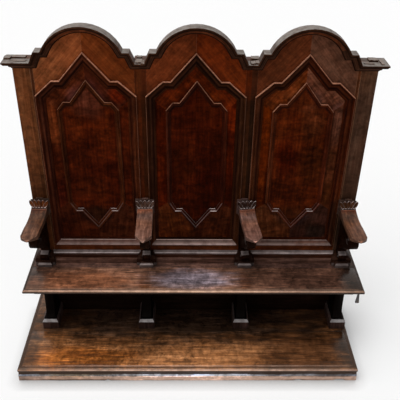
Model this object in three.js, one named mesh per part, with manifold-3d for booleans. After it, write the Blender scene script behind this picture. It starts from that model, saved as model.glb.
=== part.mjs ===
// A three-seat walnut choir stall: platform, seat on standards, arms on consoles and a panelled back.
// Millimetres. Facing the stall, +X runs to the right, +Y to the back and +Z up.
// The origin is on the floor, under the middle of the seat and halfway along the platform's depth.
import * as THREE from "three";
import { mergeVertices } from "three/addons/utils/BufferGeometryUtils.js";
import Module from "manifold-3d";

// Clearance between pieces that touch
const JOINT_GAP = 0.3;

// Platform
const PLATFORM_DEPTH = 715;
const PLATFORM_HEIGHT = 121.5;
const PLATFORM_MARGIN = 15; // beyond the seat's ends
const PLATFORM_SHIFT = -35; // the stall doesn't stand in the middle of it
const PLATFORM_BOARD = 35;
const FRONT_BOARD_DEPTH = 330;
const NOSING_FILLET = 30; // from the edge to the sunk line round the top
const NOSING_DROP = 4;
const FASCIA_SETBACK = 12;
const FASCIA_COVE = 14;
const FASCIA_BAND = 48;
const BASE_OVERHANG = 4; // beyond the boards' ends
const RAIL_THICKNESS = 26;
const JOIST_WIDTH = 60;

// Seat and what carries it
const SEAT_HEIGHT = 596;
const SEAT_SETBACK = 206; // from the platform's front edge
const SEAT_DEPTH = 449;
const SEAT_BOARD = 29;
const SEAT_OVERHANG = 54; // beyond the posts
const SEAT_FILLET = 22; // from the edge to the sunk line round the top
const SEAT_DROP = 3;
const APRON_SETBACK = 44; // from the seat's front edge
const APRON_THICKNESS = 24;
const APRON_HEIGHT = 37;
const APRON_INSET = 58; // from the seat's ends
const LOWER_BOARD_SETBACK = 2; // behind the face of the back
const LOWER_BOARD_THICKNESS = 24;
const LOWER_BOARD_INSET = 20;
const STANDARD_THICKNESS = 60;
const STANDARD_WAIST = 135;
const STANDARD_FOOT_REACH = 165;
const STANDARD_NOSE = 36;
const STANDARD_PLINTH = { half: 53, reach: 190, height: 60, chamfer: 20, inset: 11 };
const STANDARD_SHIFTS = { left: 0, centre_left: -8, centre_right: 8, right: 12 };

// Back
const BACK_SETBACK = 544; // from the platform's front edge to the face of the back
const BAY_PITCH = 630;
const POST_WIDTH = 96;
const STILE_WIDTH = 18;
const UPRIGHT_DEPTH = 93;
const HEAD_THICKNESS = 29;
const BOTTOM_RAIL_THICKNESS = 45;
const PANEL_THICKNESS = 14;
const PANEL_RECESS = 18;
const PANEL_LAP = 9;

// Outer moulding, which laps the frame's face and slopes back to the panel
const FRAME_FOOT = 106; // above the seat
const FRAME_SIDE = 1065;
const FRAME_CHAMFER_RUN = 101;
const FRAME_CHAMFER_RISE = 92;
const FRAME_STEP = 44;
const FRAME_RAKE_RUN = 145;
const FRAME_RAKE_RISE = 168;
const FRAME_LAP = 8;
const FRAME_WIDTH = 55;
const FRAME_PROUD = 12;
const FRAME_LIP = 7; // thickness of the inner edge on the panel

// Inner moulding, planted on the panel
const INNER_RISE = 118; // above the outer moulding's foot
const INNER_SHORTER = 420; // than the outer moulding's sides
const INNER_CHAMFER_RUN = 40;
const INNER_CHAMFER_RISE = 50;
const INNER_CHAMFER_DROP = 70; // at the foot
const INNER_STEP = 40;
const INNER_RAKE_RUN = 100;
const INNER_RAKE_RISE = 136;
const INNER_WIDTH = 28;
const INNER_HEIGHT = 13;
const INNER_LIP = 5;

// Cornice
const CORNICE_RISE = 208; // from the head of the outer moulding's sides to the valleys
const CORNICE_DIAGONAL_RUN = 29;
const CORNICE_DIAGONAL_RISE = 63;
const CORNICE_SHOULDER = 38;
const ARCH_HALF_CHORD = 222;
const ARCH_RISE = 142;
const ARCH_STEPS = 16;
const CORNICE_PROJECTION = 47;
const CORNICE_HEIGHT = 45;
const CORNICE_CAP = 12;
const CORNICE_FILLET = 9;
const CORNICE_BED = 12;

// Skirting on the seat
const SKIRTING_PROJECTION = 60;
const SKIRTING_HEIGHT = 66;
const SKIRTING_FACE = 47;

// Arms, consoles and their plinths: shift along the back and splay of the front, to the right
const ARM_UNITS = {
  left: { shift: 0, splay: -2 },
  centre_left: { shift: 0, splay: 1 },
  centre_right: { shift: 12, splay: 5 },
  right: { shift: -4, splay: 2 },
};
const ARM_UNDERSIDE = 372; // above the seat
const ARM_REACH = 357; // from the face of the back
const ARM_POINT = 42;
const ARM_HALF_WIDTH = 49;
const ARM_EAR = 11;
const ARM_EAR_LENGTH = 34;
const ARM_NOSE = 75; // length of the slope under the tip
const ARM_TIP = 9;
// height of the arm's top above its underside, at shares of its reach
const ARM_TOP = [
  [0.97, 29],
  [0.84, 33],
  [0.66, 33],
  [0.5, 28],
  [0.34, 31],
  [0.19, 42],
  [0.1, 58],
  [0.055, 84],
  [0.036, 108],
];
const CONSOLE_THICKNESS = 52;
const CONSOLE_STANDOFF = 0.8; // in front of the outer moulding
const CONSOLE_WAIST = 48;
const CONSOLE_RAKE = 37; // degrees, of the straight underside
const CONSOLE_TONGUE_PLAY = 4; // to the moulding on either side
const FOOT_REACH = 95;
const FOOT_RADIUS = 30;
const VOLUTE_REACH = 206;
const VOLUTE_RADIUS = 58;
const VOLUTE_NECK = 8;
const PLINTH_HALF = 46;
const PLINTH_REACH = 107;
const PLINTH_HEIGHT = 34;
const PLINTH_FACE = 20;
const PLINTH_INSET = 8;
const PEDESTAL_HALF = 64;
const PEDESTAL_REACH = 83;
// rise and inset of the pedestal's crown, as shares of the skirting's crown
const PEDESTAL_CROWN = [[0, 0], [0.4, 0.15], [0.65, 0.5], [0.8, 0.95], [1, 1.2]];

// Iron link plate that hangs on a staple under the seat's right end
const LINK_INSET = 30; // from the seat's end
const LINK_SETBACK = 28; // from the seat's front edge
const LINK_DROP = 14;
const LINK_LENGTH = 79;
const LINK_HALF_TOP = 6;
const LINK_HALF_FOOT = 13;
const LINK_THICKNESS = 5;
const LINK_EYE = 8;
const LINK_PLAY = 0.4;
const STAPLE_RADIUS = 3;
const STAPLE_HALF = 10;
const ROUND_SIDES = 16;

const wasm = await Module();
wasm.setup();

// Places worked out from the sizes above
const BAYS = ["left", "middle", "right"];
const endBayX = ((BAYS.length - 1) / 2) * BAY_PITCH;
const frameHalf = FRAME_RAKE_RUN + FRAME_STEP + FRAME_CHAMFER_RUN;
const openHalf = frameHalf - FRAME_LAP;
const innerFootZ = FRAME_FOOT + INNER_RISE;
const innerSide = FRAME_SIDE - INNER_SHORTER;
const valleyZ = FRAME_FOOT + FRAME_SIDE + CORNICE_RISE;
const mullionHalf = BAY_PITCH / 2 - openHalf;
const postInner = endBayX + openHalf + STILE_WIDTH;
const backHalf = postInner + POST_WIDTH;
const seatHalf = backHalf + SEAT_OVERHANG;
const platformHalf = seatHalf + PLATFORM_MARGIN;
const frontY = -PLATFORM_DEPTH / 2;
const backY = frontY + BACK_SETBACK;
const seatFrontY = frontY + SEAT_SETBACK;
const seatUnderside = SEAT_HEIGHT - SEAT_BOARD;
const seatPlank = BACK_SETBACK - SEAT_SETBACK - PLINTH_REACH - JOINT_GAP; // the front one
const lowerBoardY = backY + LOWER_BOARD_SETBACK;
const apronY = seatFrontY + APRON_SETBACK;
const crown = SKIRTING_HEIGHT - SKIRTING_FACE; // height of the skirting's moulded top
const armStandoff = FRAME_PROUD + CONSOLE_STANDOFF;
const beyondFace = 2 * armStandoff; // arms and consoles start this far behind the face, then are cut
const uprightX = {
  left: -(backHalf - POST_WIDTH / 2),
  centre_left: -BAY_PITCH / 2,
  centre_right: BAY_PITCH / 2,
  right: backHalf - POST_WIDTH / 2,
};

// Turns a closed geometry into a solid for joining and cutting, and back
function toSolid(geometry) {
  const bare = geometry.clone();
  bare.deleteAttribute("normal");
  bare.deleteAttribute("uv");
  const merged = mergeVertices(bare, 1e-4);
  return new wasm.Manifold(
    new wasm.Mesh({
      numProp: 3,
      vertProperties: new Float32Array(merged.attributes.position.array),
      triVerts: new Uint32Array(merged.index.array),
    }),
  );
}

function toGeometry(solid) {
  const { vertProperties, triVerts } = solid.getMesh();
  const geometry = new THREE.BufferGeometry();
  geometry.setAttribute("position", new THREE.BufferAttribute(vertProperties, 3));
  geometry.setIndex(new THREE.BufferAttribute(triVerts, 1));
  return geometry;
}

const combine = (operation) => (first, ...rest) =>
  toGeometry(rest.reduce((solid, next) => solid[operation](toSolid(next)), toSolid(first)));
const join = combine("add");
const cut = combine("subtract");
const common = combine("intersect");

function box([x0, x1], [y0, y1], [z0, z1]) {
  const geometry = new THREE.BoxGeometry(x1 - x0, y1 - y0, z1 - z0);
  return geometry.translate((x0 + x1) / 2, (y0 + y1) / 2, (z0 + z1) / 2);
}

const polygon = (points) => new THREE.Shape(points.map(([a, b]) => new THREE.Vector2(a, b)));

function extruded(shape, length, curveSegments = 8) {
  return new THREE.ExtrudeGeometry(shape, { depth: length, bevelEnabled: false, curveSegments });
}

// Prisms of an outline seen from the front (x, z), from the side (y, z) or in plan (x, y)
const axes = [new THREE.Vector3(1, 0, 0), new THREE.Vector3(0, 1, 0), new THREE.Vector3(0, 0, 1)];
const frontBasis = new THREE.Matrix4().makeBasis(axes[0], axes[2], axes[1].clone().negate());
const sideBasis = new THREE.Matrix4().makeBasis(axes[1], axes[2], axes[0]);

function frontPrism(shape, [y0, y1]) {
  return extruded(shape, y1 - y0).translate(0, 0, -y1).applyMatrix4(frontBasis);
}

function sidePrism(shape, [x0, x1], curveSegments) {
  return extruded(shape, x1 - x0, curveSegments).translate(0, 0, x0).applyMatrix4(sideBasis);
}

function planPrism(shape, [z0, z1]) {
  return extruded(shape, z1 - z0).translate(0, 0, z0);
}

// A skin over rings of points that all follow one section, closed on itself or capped at both ends
function loft(rings, section, closed = false) {
  const count = section.length;
  const positions = rings.flat().flatMap((point) => point.toArray());
  const index = [];
  const spans = closed ? rings.length : rings.length - 1;
  for (let i = 0; i < spans; i++) {
    const here = i * count;
    const next = ((i + 1) % rings.length) * count;
    for (let j = 0; j < count; j++) {
      const k = (j + 1) % count;
      index.push(here + j, here + k, next + k, here + j, next + k, next + j);
    }
  }
  if (!closed) {
    const outline = section.map(([a, b]) => new THREE.Vector2(a, b));
    const turnOf = (points) => Math.sign(THREE.ShapeUtils.area(points));
    const last = (rings.length - 1) * count;
    for (const face of THREE.ShapeUtils.triangulateShape(outline, [])) {
      const isSame = turnOf(face.map((n) => outline[n])) === turnOf(outline);
      const [a, b, c] = isSame ? face : [...face].reverse();
      index.push(c, b, a, last + a, last + b, last + c);
    }
  }
  const geometry = new THREE.BufferGeometry();
  geometry.setAttribute("position", new THREE.Float32BufferAttribute(positions, 3));
  geometry.setIndex(index);
  return facingOut(geometry);
}

// Reverses the triangles of a closed geometry whose volume comes out negative
function facingOut(geometry) {
  const { position } = geometry.attributes;
  const corner = (n) => new THREE.Vector3().fromBufferAttribute(position, geometry.index.getX(n));
  let volume = 0;
  for (let i = 0; i < geometry.index.count; i += 3) {
    volume += corner(i).dot(corner(i + 1).cross(corner(i + 2)));
  }
  if (volume < 0) geometry.setIndex([...geometry.index.array].reverse());
  return geometry;
}

// How far each corner of a path moves for one unit of offset to its left
function mitres(points, closed) {
  const leftOf = ([x0, z0], [x1, z1]) => new THREE.Vector2(z0 - z1, x1 - x0).normalize();
  return points.map((point, i) => {
    const before = points[i - 1] ?? (closed ? points.at(-1) : null);
    const after = points[i + 1] ?? (closed ? points[0] : null);
    const a = before ? leftOf(before, point) : leftOf(point, after);
    const b = after ? leftOf(point, after) : a;
    return a.clone().add(b).divideScalar(1 + a.dot(b));
  });
}

function offset(points, distance, closed) {
  const moves = mitres(points, closed);
  return points.map(([x, z], i) => [x + moves[i].x * distance, z + moves[i].y * distance]);
}

const mirrored = (points) => points.map(([x, z]) => [-x, z]).reverse();
const profileOf = (shape, divisions) => shape.extractPoints(divisions).shape.map(({ x, y }) => [x, y]);

const root = new THREE.Group();

function group(parent, x, y, z) {
  const made = new THREE.Group();
  made.position.set(x, y, z);
  parent.add(made);
  return made;
}

function piece(parent, name, geometry, color, roughness = 0.45, metalness = 0) {
  const material = new THREE.MeshStandardMaterial({ color, roughness, metalness });
  const mesh = new THREE.Mesh(geometry, material);
  mesh.name = name;
  parent.add(mesh);
}

const WALNUT = 0x4a2413;
const WALNUT_DARK = 0x2a140b;
const WALNUT_RED = 0x55200f;
const WALNUT_WORN = 0x6b4027;
const IRON = 0x6e7072;

// A block of stacked levels, each with its height, half width and reach to the front
function stackedBlock(levels, rearY) {
  const rings = levels.map(([z, half, reach]) => {
    const corners = [[-half, -reach], [half, -reach], [half, rearY], [-half, rearY]];
    return corners.map(([x, y]) => new THREE.Vector3(x, y, z));
  });
  return loft(rings, [[0, 0], [1, 0], [1, 1], [0, 1]]);
}

// A moulded edge, from the underside up: inset from its outermost line, then height from the top
function edgeProfile(thickness, fillet, drop) {
  const shape = new THREE.Shape();
  shape.moveTo(fillet / 2, -thickness);
  shape.quadraticCurveTo(0, -thickness, 0, -thickness * 0.55);
  shape.quadraticCurveTo(0, -drop, fillet * 0.8, -drop);
  shape.lineTo(fillet, -drop);
  shape.lineTo(fillet, 0);
  return shape.getPoints(5).map(({ x, y }) => [x, y]);
}

// A board with that edge at both ends, and along its front too if it has one there; about its rear edge
function mouldedBoard(half, depth, profile, hasFront) {
  const levels = profile.map(([inset, z]) => [z, half - inset, depth - (hasFront ? inset : 0)]);
  return stackedBlock(levels, 0);
}

// Platform: two boards on a moulded fascia, three rails and a joist
function buildPlatform() {
  const platform = group(root, PLATFORM_SHIFT, frontY, 0);
  const frameTop = PLATFORM_HEIGHT - PLATFORM_BOARD - JOINT_GAP;
  const edge = edgeProfile(PLATFORM_BOARD, NOSING_FILLET, NOSING_DROP);
  const frontBoard = mouldedBoard(platformHalf, FRONT_BOARD_DEPTH, edge, true);
  frontBoard.translate(0, FRONT_BOARD_DEPTH, PLATFORM_HEIGHT);
  piece(platform, "platform_front_board", frontBoard, WALNUT_WORN, 0.4);
  const rearDepth = PLATFORM_DEPTH - FRONT_BOARD_DEPTH - JOINT_GAP;
  const rearBoard = mouldedBoard(platformHalf, rearDepth, edge, false);
  rearBoard.translate(0, PLATFORM_DEPTH, PLATFORM_HEIGHT);
  piece(platform, "platform_rear_board", rearBoard, WALNUT, 0.4);

  const fasciaBack = FASCIA_SETBACK + FASCIA_COVE + RAIL_THICKNESS;
  const fascia = new THREE.Shape();
  fascia.moveTo(fasciaBack, 0);
  fascia.lineTo(fasciaBack, frameTop);
  fascia.lineTo(FASCIA_SETBACK + FASCIA_COVE, frameTop);
  fascia.quadraticCurveTo(FASCIA_SETBACK + FASCIA_COVE, FASCIA_BAND, FASCIA_SETBACK, FASCIA_BAND);
  fascia.lineTo(FASCIA_SETBACK, 0);
  const railHalf = platformHalf + BASE_OVERHANG;
  piece(platform, "platform_fascia", sidePrism(fascia, [-railHalf, railHalf], 5), WALNUT_WORN, 0.6);

  const rearRailY = PLATFORM_DEPTH - RAIL_THICKNESS;
  const rearRail = box([-railHalf, railHalf], [rearRailY, PLATFORM_DEPTH], [0, frameTop]);
  piece(platform, "platform_rear_rail", rearRail, WALNUT_DARK, 0.7);
  const between = [fasciaBack + JOINT_GAP, rearRailY - JOINT_GAP];
  const leftRail = box([-railHalf, -railHalf + RAIL_THICKNESS], between, [0, frameTop]);
  piece(platform, "platform_left_rail", leftRail, WALNUT_DARK, 0.6);
  const rightRail = box([railHalf - RAIL_THICKNESS, railHalf], between, [0, frameTop]);
  piece(platform, "platform_right_rail", rightRail, WALNUT_DARK, 0.6);
  const joistX = [-JOIST_WIDTH / 2 - PLATFORM_SHIFT, JOIST_WIDTH / 2 - PLATFORM_SHIFT];
  piece(platform, "platform_joist", box(joistX, between, [0, frameTop]), WALNUT_DARK, 0.7);
}

// Seat: standards with plinth feet, a closing board, an apron and two planks
function standard() {
  const top = seatUnderside - PLATFORM_HEIGHT - JOINT_GAP;
  const rear = -JOINT_GAP;
  const reach = lowerBoardY - (apronY + APRON_THICKNESS) - JOINT_GAP;
  const { half, reach: plinthReach, height, chamfer, inset } = STANDARD_PLINTH;
  const shape = new THREE.Shape();
  shape.moveTo(rear, height);
  shape.lineTo(-STANDARD_FOOT_REACH, height);
  shape.lineTo(-STANDARD_FOOT_REACH, height + chamfer);
  const waistZ = (height + top) / 2;
  shape.quadraticCurveTo(-STANDARD_WAIST, height + 2 * chamfer, -STANDARD_WAIST, waistZ);
  shape.quadraticCurveTo(-STANDARD_WAIST, top - STANDARD_NOSE, -reach, top - STANDARD_NOSE);
  shape.lineTo(-reach, top);
  shape.lineTo(rear, top);
  const board = sidePrism(shape, [-STANDARD_THICKNESS / 2, STANDARD_THICKNESS / 2], 6);
  const foot = stackedBlock(
    [
      [JOINT_GAP, half, plinthReach],
      [height, half, plinthReach],
      [height + chamfer, half - inset, plinthReach - inset],
    ],
    rear,
  );
  return join(board, foot);
}

function buildSeat() {
  const seat = group(root, 0, 0, 0);
  for (const [side, x] of Object.entries(uprightX)) {
    const place = group(seat, x + STANDARD_SHIFTS[side], lowerBoardY, PLATFORM_HEIGHT);
    piece(place, side + "_standard", standard(), WALNUT_DARK, 0.5);
  }
  const lowerHalf = backHalf - LOWER_BOARD_INSET;
  const lowerBoard = box(
    [-lowerHalf, lowerHalf],
    [lowerBoardY, lowerBoardY + LOWER_BOARD_THICKNESS],
    [PLATFORM_HEIGHT + JOINT_GAP, seatUnderside - JOINT_GAP],
  );
  piece(seat, "lower_back_board", lowerBoard, WALNUT_DARK, 0.6);

  const apronHalf = seatHalf - APRON_INSET;
  const apronTop = seatUnderside - JOINT_GAP;
  const apronDepth = [apronY, apronY + APRON_THICKNESS];
  const apron = box([-apronHalf, apronHalf], apronDepth, [apronTop - APRON_HEIGHT, apronTop]);
  piece(seat, "seat_apron", apron, WALNUT_DARK, 0.5);

  const edge = edgeProfile(SEAT_BOARD, SEAT_FILLET, SEAT_DROP);
  const frontPlank = mouldedBoard(seatHalf, seatPlank, edge, true);
  frontPlank.translate(0, seatFrontY + seatPlank, SEAT_HEIGHT);
  piece(seat, "seat_front_plank", frontPlank, WALNUT_WORN, 0.35);
  const rearPlank = mouldedBoard(seatHalf, SEAT_DEPTH - seatPlank - JOINT_GAP, edge, false);
  rearPlank.translate(0, seatFrontY + SEAT_DEPTH, SEAT_HEIGHT);
  piece(seat, "seat_rear_plank", rearPlank, WALNUT, 0.4);
}

// Outlines of a bay, about its middle and above the seat
function pointedTop(stepZ, chamferRun, step, rakeRun, chamferRise, rakeRise) {
  const half = rakeRun + step + chamferRun;
  return [
    [half, stepZ - chamferRise],
    [rakeRun + step, stepZ],
    [rakeRun, stepZ],
    [0, stepZ + rakeRise],
  ];
}

const bothSides = (half) => [...half, ...mirrored(half.slice(0, -1))];

const frameStepZ = FRAME_FOOT + FRAME_SIDE + FRAME_CHAMFER_RISE;
const frameTop = pointedTop(
  frameStepZ, FRAME_CHAMFER_RUN, FRAME_STEP, FRAME_RAKE_RUN, FRAME_CHAMFER_RISE, FRAME_RAKE_RISE,
);
const frameOutline = [
  [-frameHalf, FRAME_FOOT],
  [frameHalf, FRAME_FOOT],
  ...bothSides(frameTop),
];
const openOutline = offset(frameOutline, FRAME_LAP, true);
const panelOutline = offset(frameOutline, FRAME_LAP - PANEL_LAP, true);

const innerFootStepZ = innerFootZ + INNER_RAKE_RISE;
const innerTopStepZ = innerFootStepZ + INNER_CHAMFER_DROP + innerSide + INNER_CHAMFER_RISE;
const innerTop = pointedTop(
  innerTopStepZ, INNER_CHAMFER_RUN, INNER_STEP, INNER_RAKE_RUN, INNER_CHAMFER_RISE, INNER_RAKE_RISE,
);
const innerFoot = pointedTop(
  -innerFootStepZ, INNER_CHAMFER_RUN, INNER_STEP, INNER_RAKE_RUN, INNER_CHAMFER_DROP, INNER_RAKE_RISE,
);
const innerOutline = [...bothSides(innerTop), ...bothSides(innerFoot).map(([x, z]) => [-x, -z])];

// The line of the cornice's upper front edge over a bay, from one end to the other
function corniceLine(leftX, rightX) {
  const shoulderZ = valleyZ + CORNICE_DIAGONAL_RISE;
  const shoulderX = ARCH_HALF_CHORD + CORNICE_SHOULDER;
  const radius = (ARCH_HALF_CHORD ** 2 + ARCH_RISE ** 2) / (2 * ARCH_RISE);
  const centreZ = shoulderZ + ARCH_RISE - radius;
  const halfAngle = Math.atan2(ARCH_HALF_CHORD, shoulderZ - centreZ);
  const rising = [
    [-shoulderX - CORNICE_DIAGONAL_RUN, valleyZ],
    [-shoulderX, shoulderZ],
  ];
  const arch = [];
  for (let i = 0; i <= ARCH_STEPS; i++) {
    const angle = halfAngle * ((2 * i) / ARCH_STEPS - 1);
    arch.push([radius * Math.sin(angle), centreZ + radius * Math.cos(angle)]);
  }
  return [[leftX, valleyZ], ...rising, ...arch, ...mirrored(rising), [rightX, valleyZ]];
}

// Sections of the mouldings: across the face, then projection in front of it
function frameSection() {
  const panelFace = -PANEL_RECESS + JOINT_GAP;
  const lipTop = panelFace + FRAME_LIP;
  const beadEnd = FRAME_WIDTH * 0.27;
  const shape = new THREE.Shape();
  shape.moveTo(0, JOINT_GAP);
  shape.lineTo(0, FRAME_PROUD * 0.75);
  shape.quadraticCurveTo(0, FRAME_PROUD, beadEnd / 2, FRAME_PROUD);
  shape.quadraticCurveTo(beadEnd, FRAME_PROUD, beadEnd, FRAME_PROUD * 0.55);
  shape.quadraticCurveTo(FRAME_WIDTH * 0.5, FRAME_PROUD * 0.4, FRAME_WIDTH * 0.62, lipTop / 2);
  shape.quadraticCurveTo(FRAME_WIDTH * 0.72, lipTop, FRAME_WIDTH * 0.85, lipTop);
  shape.lineTo(FRAME_WIDTH, lipTop);
  shape.lineTo(FRAME_WIDTH, panelFace);
  shape.lineTo(FRAME_LAP + JOINT_GAP, panelFace);
  shape.lineTo(FRAME_LAP + JOINT_GAP, JOINT_GAP);
  return profileOf(shape, 3);
}

function innerSection() {
  const base = -PANEL_RECESS + JOINT_GAP;
  const crest = base + INNER_HEIGHT;
  const lip = base + INNER_LIP;
  const shape = new THREE.Shape();
  shape.moveTo(0, base);
  shape.lineTo(0, lip);
  shape.quadraticCurveTo(INNER_WIDTH * 0.05, crest, INNER_WIDTH * 0.3, crest);
  shape.quadraticCurveTo(INNER_WIDTH * 0.5, crest, INNER_WIDTH * 0.55, base + INNER_HEIGHT * 0.6);
  shape.quadraticCurveTo(INNER_WIDTH * 0.75, lip, INNER_WIDTH, lip);
  shape.lineTo(INNER_WIDTH, base);
  return profileOf(shape, 3);
}

// Section of the cornice: projection in front of the face, then drop below its upper edge
function corniceSection(capDepth) {
  const bedDrop = CORNICE_HEIGHT - CORNICE_BED;
  const bedReach = CORNICE_PROJECTION * 0.3;
  const ovoloReach = CORNICE_PROJECTION - CORNICE_FILLET / 2;
  const shape = new THREE.Shape();
  shape.moveTo(-capDepth, 0);
  shape.lineTo(CORNICE_PROJECTION, 0);
  shape.lineTo(CORNICE_PROJECTION, CORNICE_FILLET);
  shape.lineTo(ovoloReach, CORNICE_FILLET);
  const middle = [(ovoloReach + bedReach) / 2, (CORNICE_FILLET + bedDrop) / 2];
  shape.quadraticCurveTo(ovoloReach, middle[1], ...middle);
  shape.quadraticCurveTo(bedReach, middle[1], bedReach, bedDrop);
  shape.lineTo(bedReach * 0.7, bedDrop + CORNICE_BED / 3);
  shape.quadraticCurveTo(bedReach * 0.2, bedDrop + CORNICE_BED / 2, bedReach * 0.2, CORNICE_HEIGHT);
  shape.lineTo(JOINT_GAP, CORNICE_HEIGHT);
  if (capDepth > 0) {
    shape.lineTo(JOINT_GAP, CORNICE_CAP);
    shape.lineTo(-capDepth, CORNICE_CAP);
  }
  return profileOf(shape, 3);
}

// Sweeps a moulding's section round a closed outline on the face of the back
function mouldingRing(outline, section) {
  const moves = mitres(outline, true);
  const rings = outline.map(([x, z], i) => {
    const { x: moveX, y: moveZ } = moves[i];
    return section.map(([across, out]) => new THREE.Vector3(x + moveX * across, -out, z + moveZ * across));
  });
  return loft(rings, section, true);
}

function corniceLength(line) {
  const section = corniceSection(HEAD_THICKNESS);
  const moves = mitres(line, false);
  const rings = line.map(([x, z], i) =>
    section.map(([out, drop]) => new THREE.Vector3(x - moves[i].x * drop, -out, z - moves[i].y * drop)),
  );
  return loft(rings, section);
}

// What is cut from an end of the cornice so that it meets the return in a mitre
function mitreWaste(sign, cornerX) {
  const far = 3 * CORNICE_PROJECTION + HEAD_THICKNESS;
  const outline = [[cornerX, far], [cornerX, 0], [cornerX + far, -far], [cornerX + far, far]];
  const waste = polygon(outline.map(([x, y]) => [sign * x, y]));
  return planPrism(waste, [0, 2 * valleyZ]);
}

function corniceReturn(sign) {
  const section = corniceSection(-JOINT_GAP);
  const ends = [(out) => -out + 2 * JOINT_GAP, () => UPRIGHT_DEPTH];
  const rings = ends.map((yOf) =>
    section.map(
      ([out, drop]) => new THREE.Vector3(sign * (backHalf + out), yOf(out), valleyZ - drop),
    ),
  );
  return loft(rings, section);
}

// Uprights, with a step at the top for the cornice and one at the foot where they lap the bottom rail
const capUnderside = valleyZ - CORNICE_CAP - JOINT_GAP;
const railTop = FRAME_FOOT + FRAME_LAP - JOINT_GAP;

function upright(x0, x1, lapsRail) {
  const capBack = HEAD_THICKNESS + JOINT_GAP;
  const railBack = BOTTOM_RAIL_THICKNESS + JOINT_GAP;
  const foot = lapsRail
    ? [[railBack, JOINT_GAP], [railBack, railTop + JOINT_GAP], [0, railTop + JOINT_GAP]]
    : [[0, JOINT_GAP]];
  const outline = [
    [UPRIGHT_DEPTH, JOINT_GAP],
    [UPRIGHT_DEPTH, valleyZ],
    [capBack, valleyZ],
    [capBack, capUnderside],
    [0, capUnderside],
    ...foot.reverse(),
  ];
  return sidePrism(polygon(outline), [x0, x1]);
}

const panelY = [PANEL_RECESS, PANEL_RECESS + PANEL_THICKNESS];

// The room that a panel takes in the frame's grooves
function panelSeat(x) {
  const outline = offset(panelOutline, -JOINT_GAP, true);
  const room = [panelY[0] - JOINT_GAP, panelY[1] + JOINT_GAP];
  return frontPrism(polygon(outline), room).translate(x, 0, 0);
}

function headBoard(sign) {
  const line = offset(corniceLine(-BAY_PITCH / 2, BAY_PITCH / 2), -CORNICE_CAP - JOINT_GAP, false);
  const lowZ = FRAME_FOOT + FRAME_SIDE / 2;
  const blankOutline = [...line, [BAY_PITCH / 2, lowZ], [-BAY_PITCH / 2, lowZ]];
  const blank = frontPrism(polygon(blankOutline), [0, HEAD_THICKNESS]);
  const edges = [(sign * JOINT_GAP) / 2, sign * (openHalf - JOINT_GAP)].sort((a, b) => a - b);
  const half = box(edges, [-1, HEAD_THICKNESS + 1], [0, 2 * valleyZ]);
  const opening = frontPrism(polygon(openOutline), [-1, HEAD_THICKNESS + 1]);
  return cut(common(blank, half), opening, panelSeat(0));
}

// Arm and console of one unit, about the middle of its upright and in front of the face of the back
function armPlaced(geometry, { shift, splay }) {
  return geometry.rotateZ(THREE.MathUtils.degToRad(splay)).translate(shift, 0, 0);
}

const tongueHalf = BAY_PITCH / 2 - frameHalf - CONSOLE_TONGUE_PLAY;

// Keeps what stands clear of the moulding and adds the tongue that reaches the upright
function tongued(geometry, [z0, z1], play = 0) {
  const reach = 2 * ARM_REACH;
  const clear = box([-reach, reach], [-reach, -armStandoff], [0, 2 * ARM_UNDERSIDE]);
  const half = tongueHalf + play;
  return join(common(geometry, clear), box([-half, half], [-armStandoff - 1, -JOINT_GAP + play], [z0, z1]));
}

function arm(unit) {
  const tipZ = ARM_UNDERSIDE + ARM_TOP[0][1] - ARM_TIP;
  const side = new THREE.Shape();
  side.moveTo(beyondFace, ARM_UNDERSIDE);
  side.lineTo(-ARM_REACH + ARM_NOSE, ARM_UNDERSIDE);
  side.quadraticCurveTo(-ARM_REACH + ARM_NOSE / 2, ARM_UNDERSIDE, -ARM_REACH, tipZ);
  side.splineThru(
    ARM_TOP.map(([share, height]) => new THREE.Vector2(-ARM_REACH * share, ARM_UNDERSIDE + height)),
  );
  side.lineTo(beyondFace, ARM_UNDERSIDE + ARM_TOP.at(-1)[1]);

  const shoulder = -ARM_REACH + ARM_POINT;
  const earHalf = ARM_HALF_WIDTH + ARM_EAR;
  const earY = -armStandoff;
  const plan = new THREE.Shape();
  plan.moveTo(0, -ARM_REACH);
  plan.quadraticCurveTo(ARM_HALF_WIDTH * 0.5, shoulder - ARM_POINT * 0.75, ARM_HALF_WIDTH, shoulder);
  plan.lineTo(ARM_HALF_WIDTH, earY - ARM_EAR_LENGTH);
  plan.quadraticCurveTo(ARM_HALF_WIDTH, earY, earHalf, earY);
  plan.lineTo(earHalf, beyondFace);
  plan.lineTo(-earHalf, beyondFace);
  plan.lineTo(-earHalf, earY);
  plan.quadraticCurveTo(-ARM_HALF_WIDTH, earY, -ARM_HALF_WIDTH, earY - ARM_EAR_LENGTH);
  plan.lineTo(-ARM_HALF_WIDTH, shoulder);
  plan.quadraticCurveTo(-ARM_HALF_WIDTH * 0.5, shoulder - ARM_POINT * 0.75, 0, -ARM_REACH);

  const body = common(
    sidePrism(side, [-2 * earHalf, 2 * earHalf], 3),
    planPrism(plan, [ARM_UNDERSIDE - 1, 2 * ARM_UNDERSIDE]),
  );
  const tongueZ = [ARM_UNDERSIDE, ARM_UNDERSIDE + ARM_TOP.at(-1)[1]];
  return tongued(armPlaced(body, unit), tongueZ);
}

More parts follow.
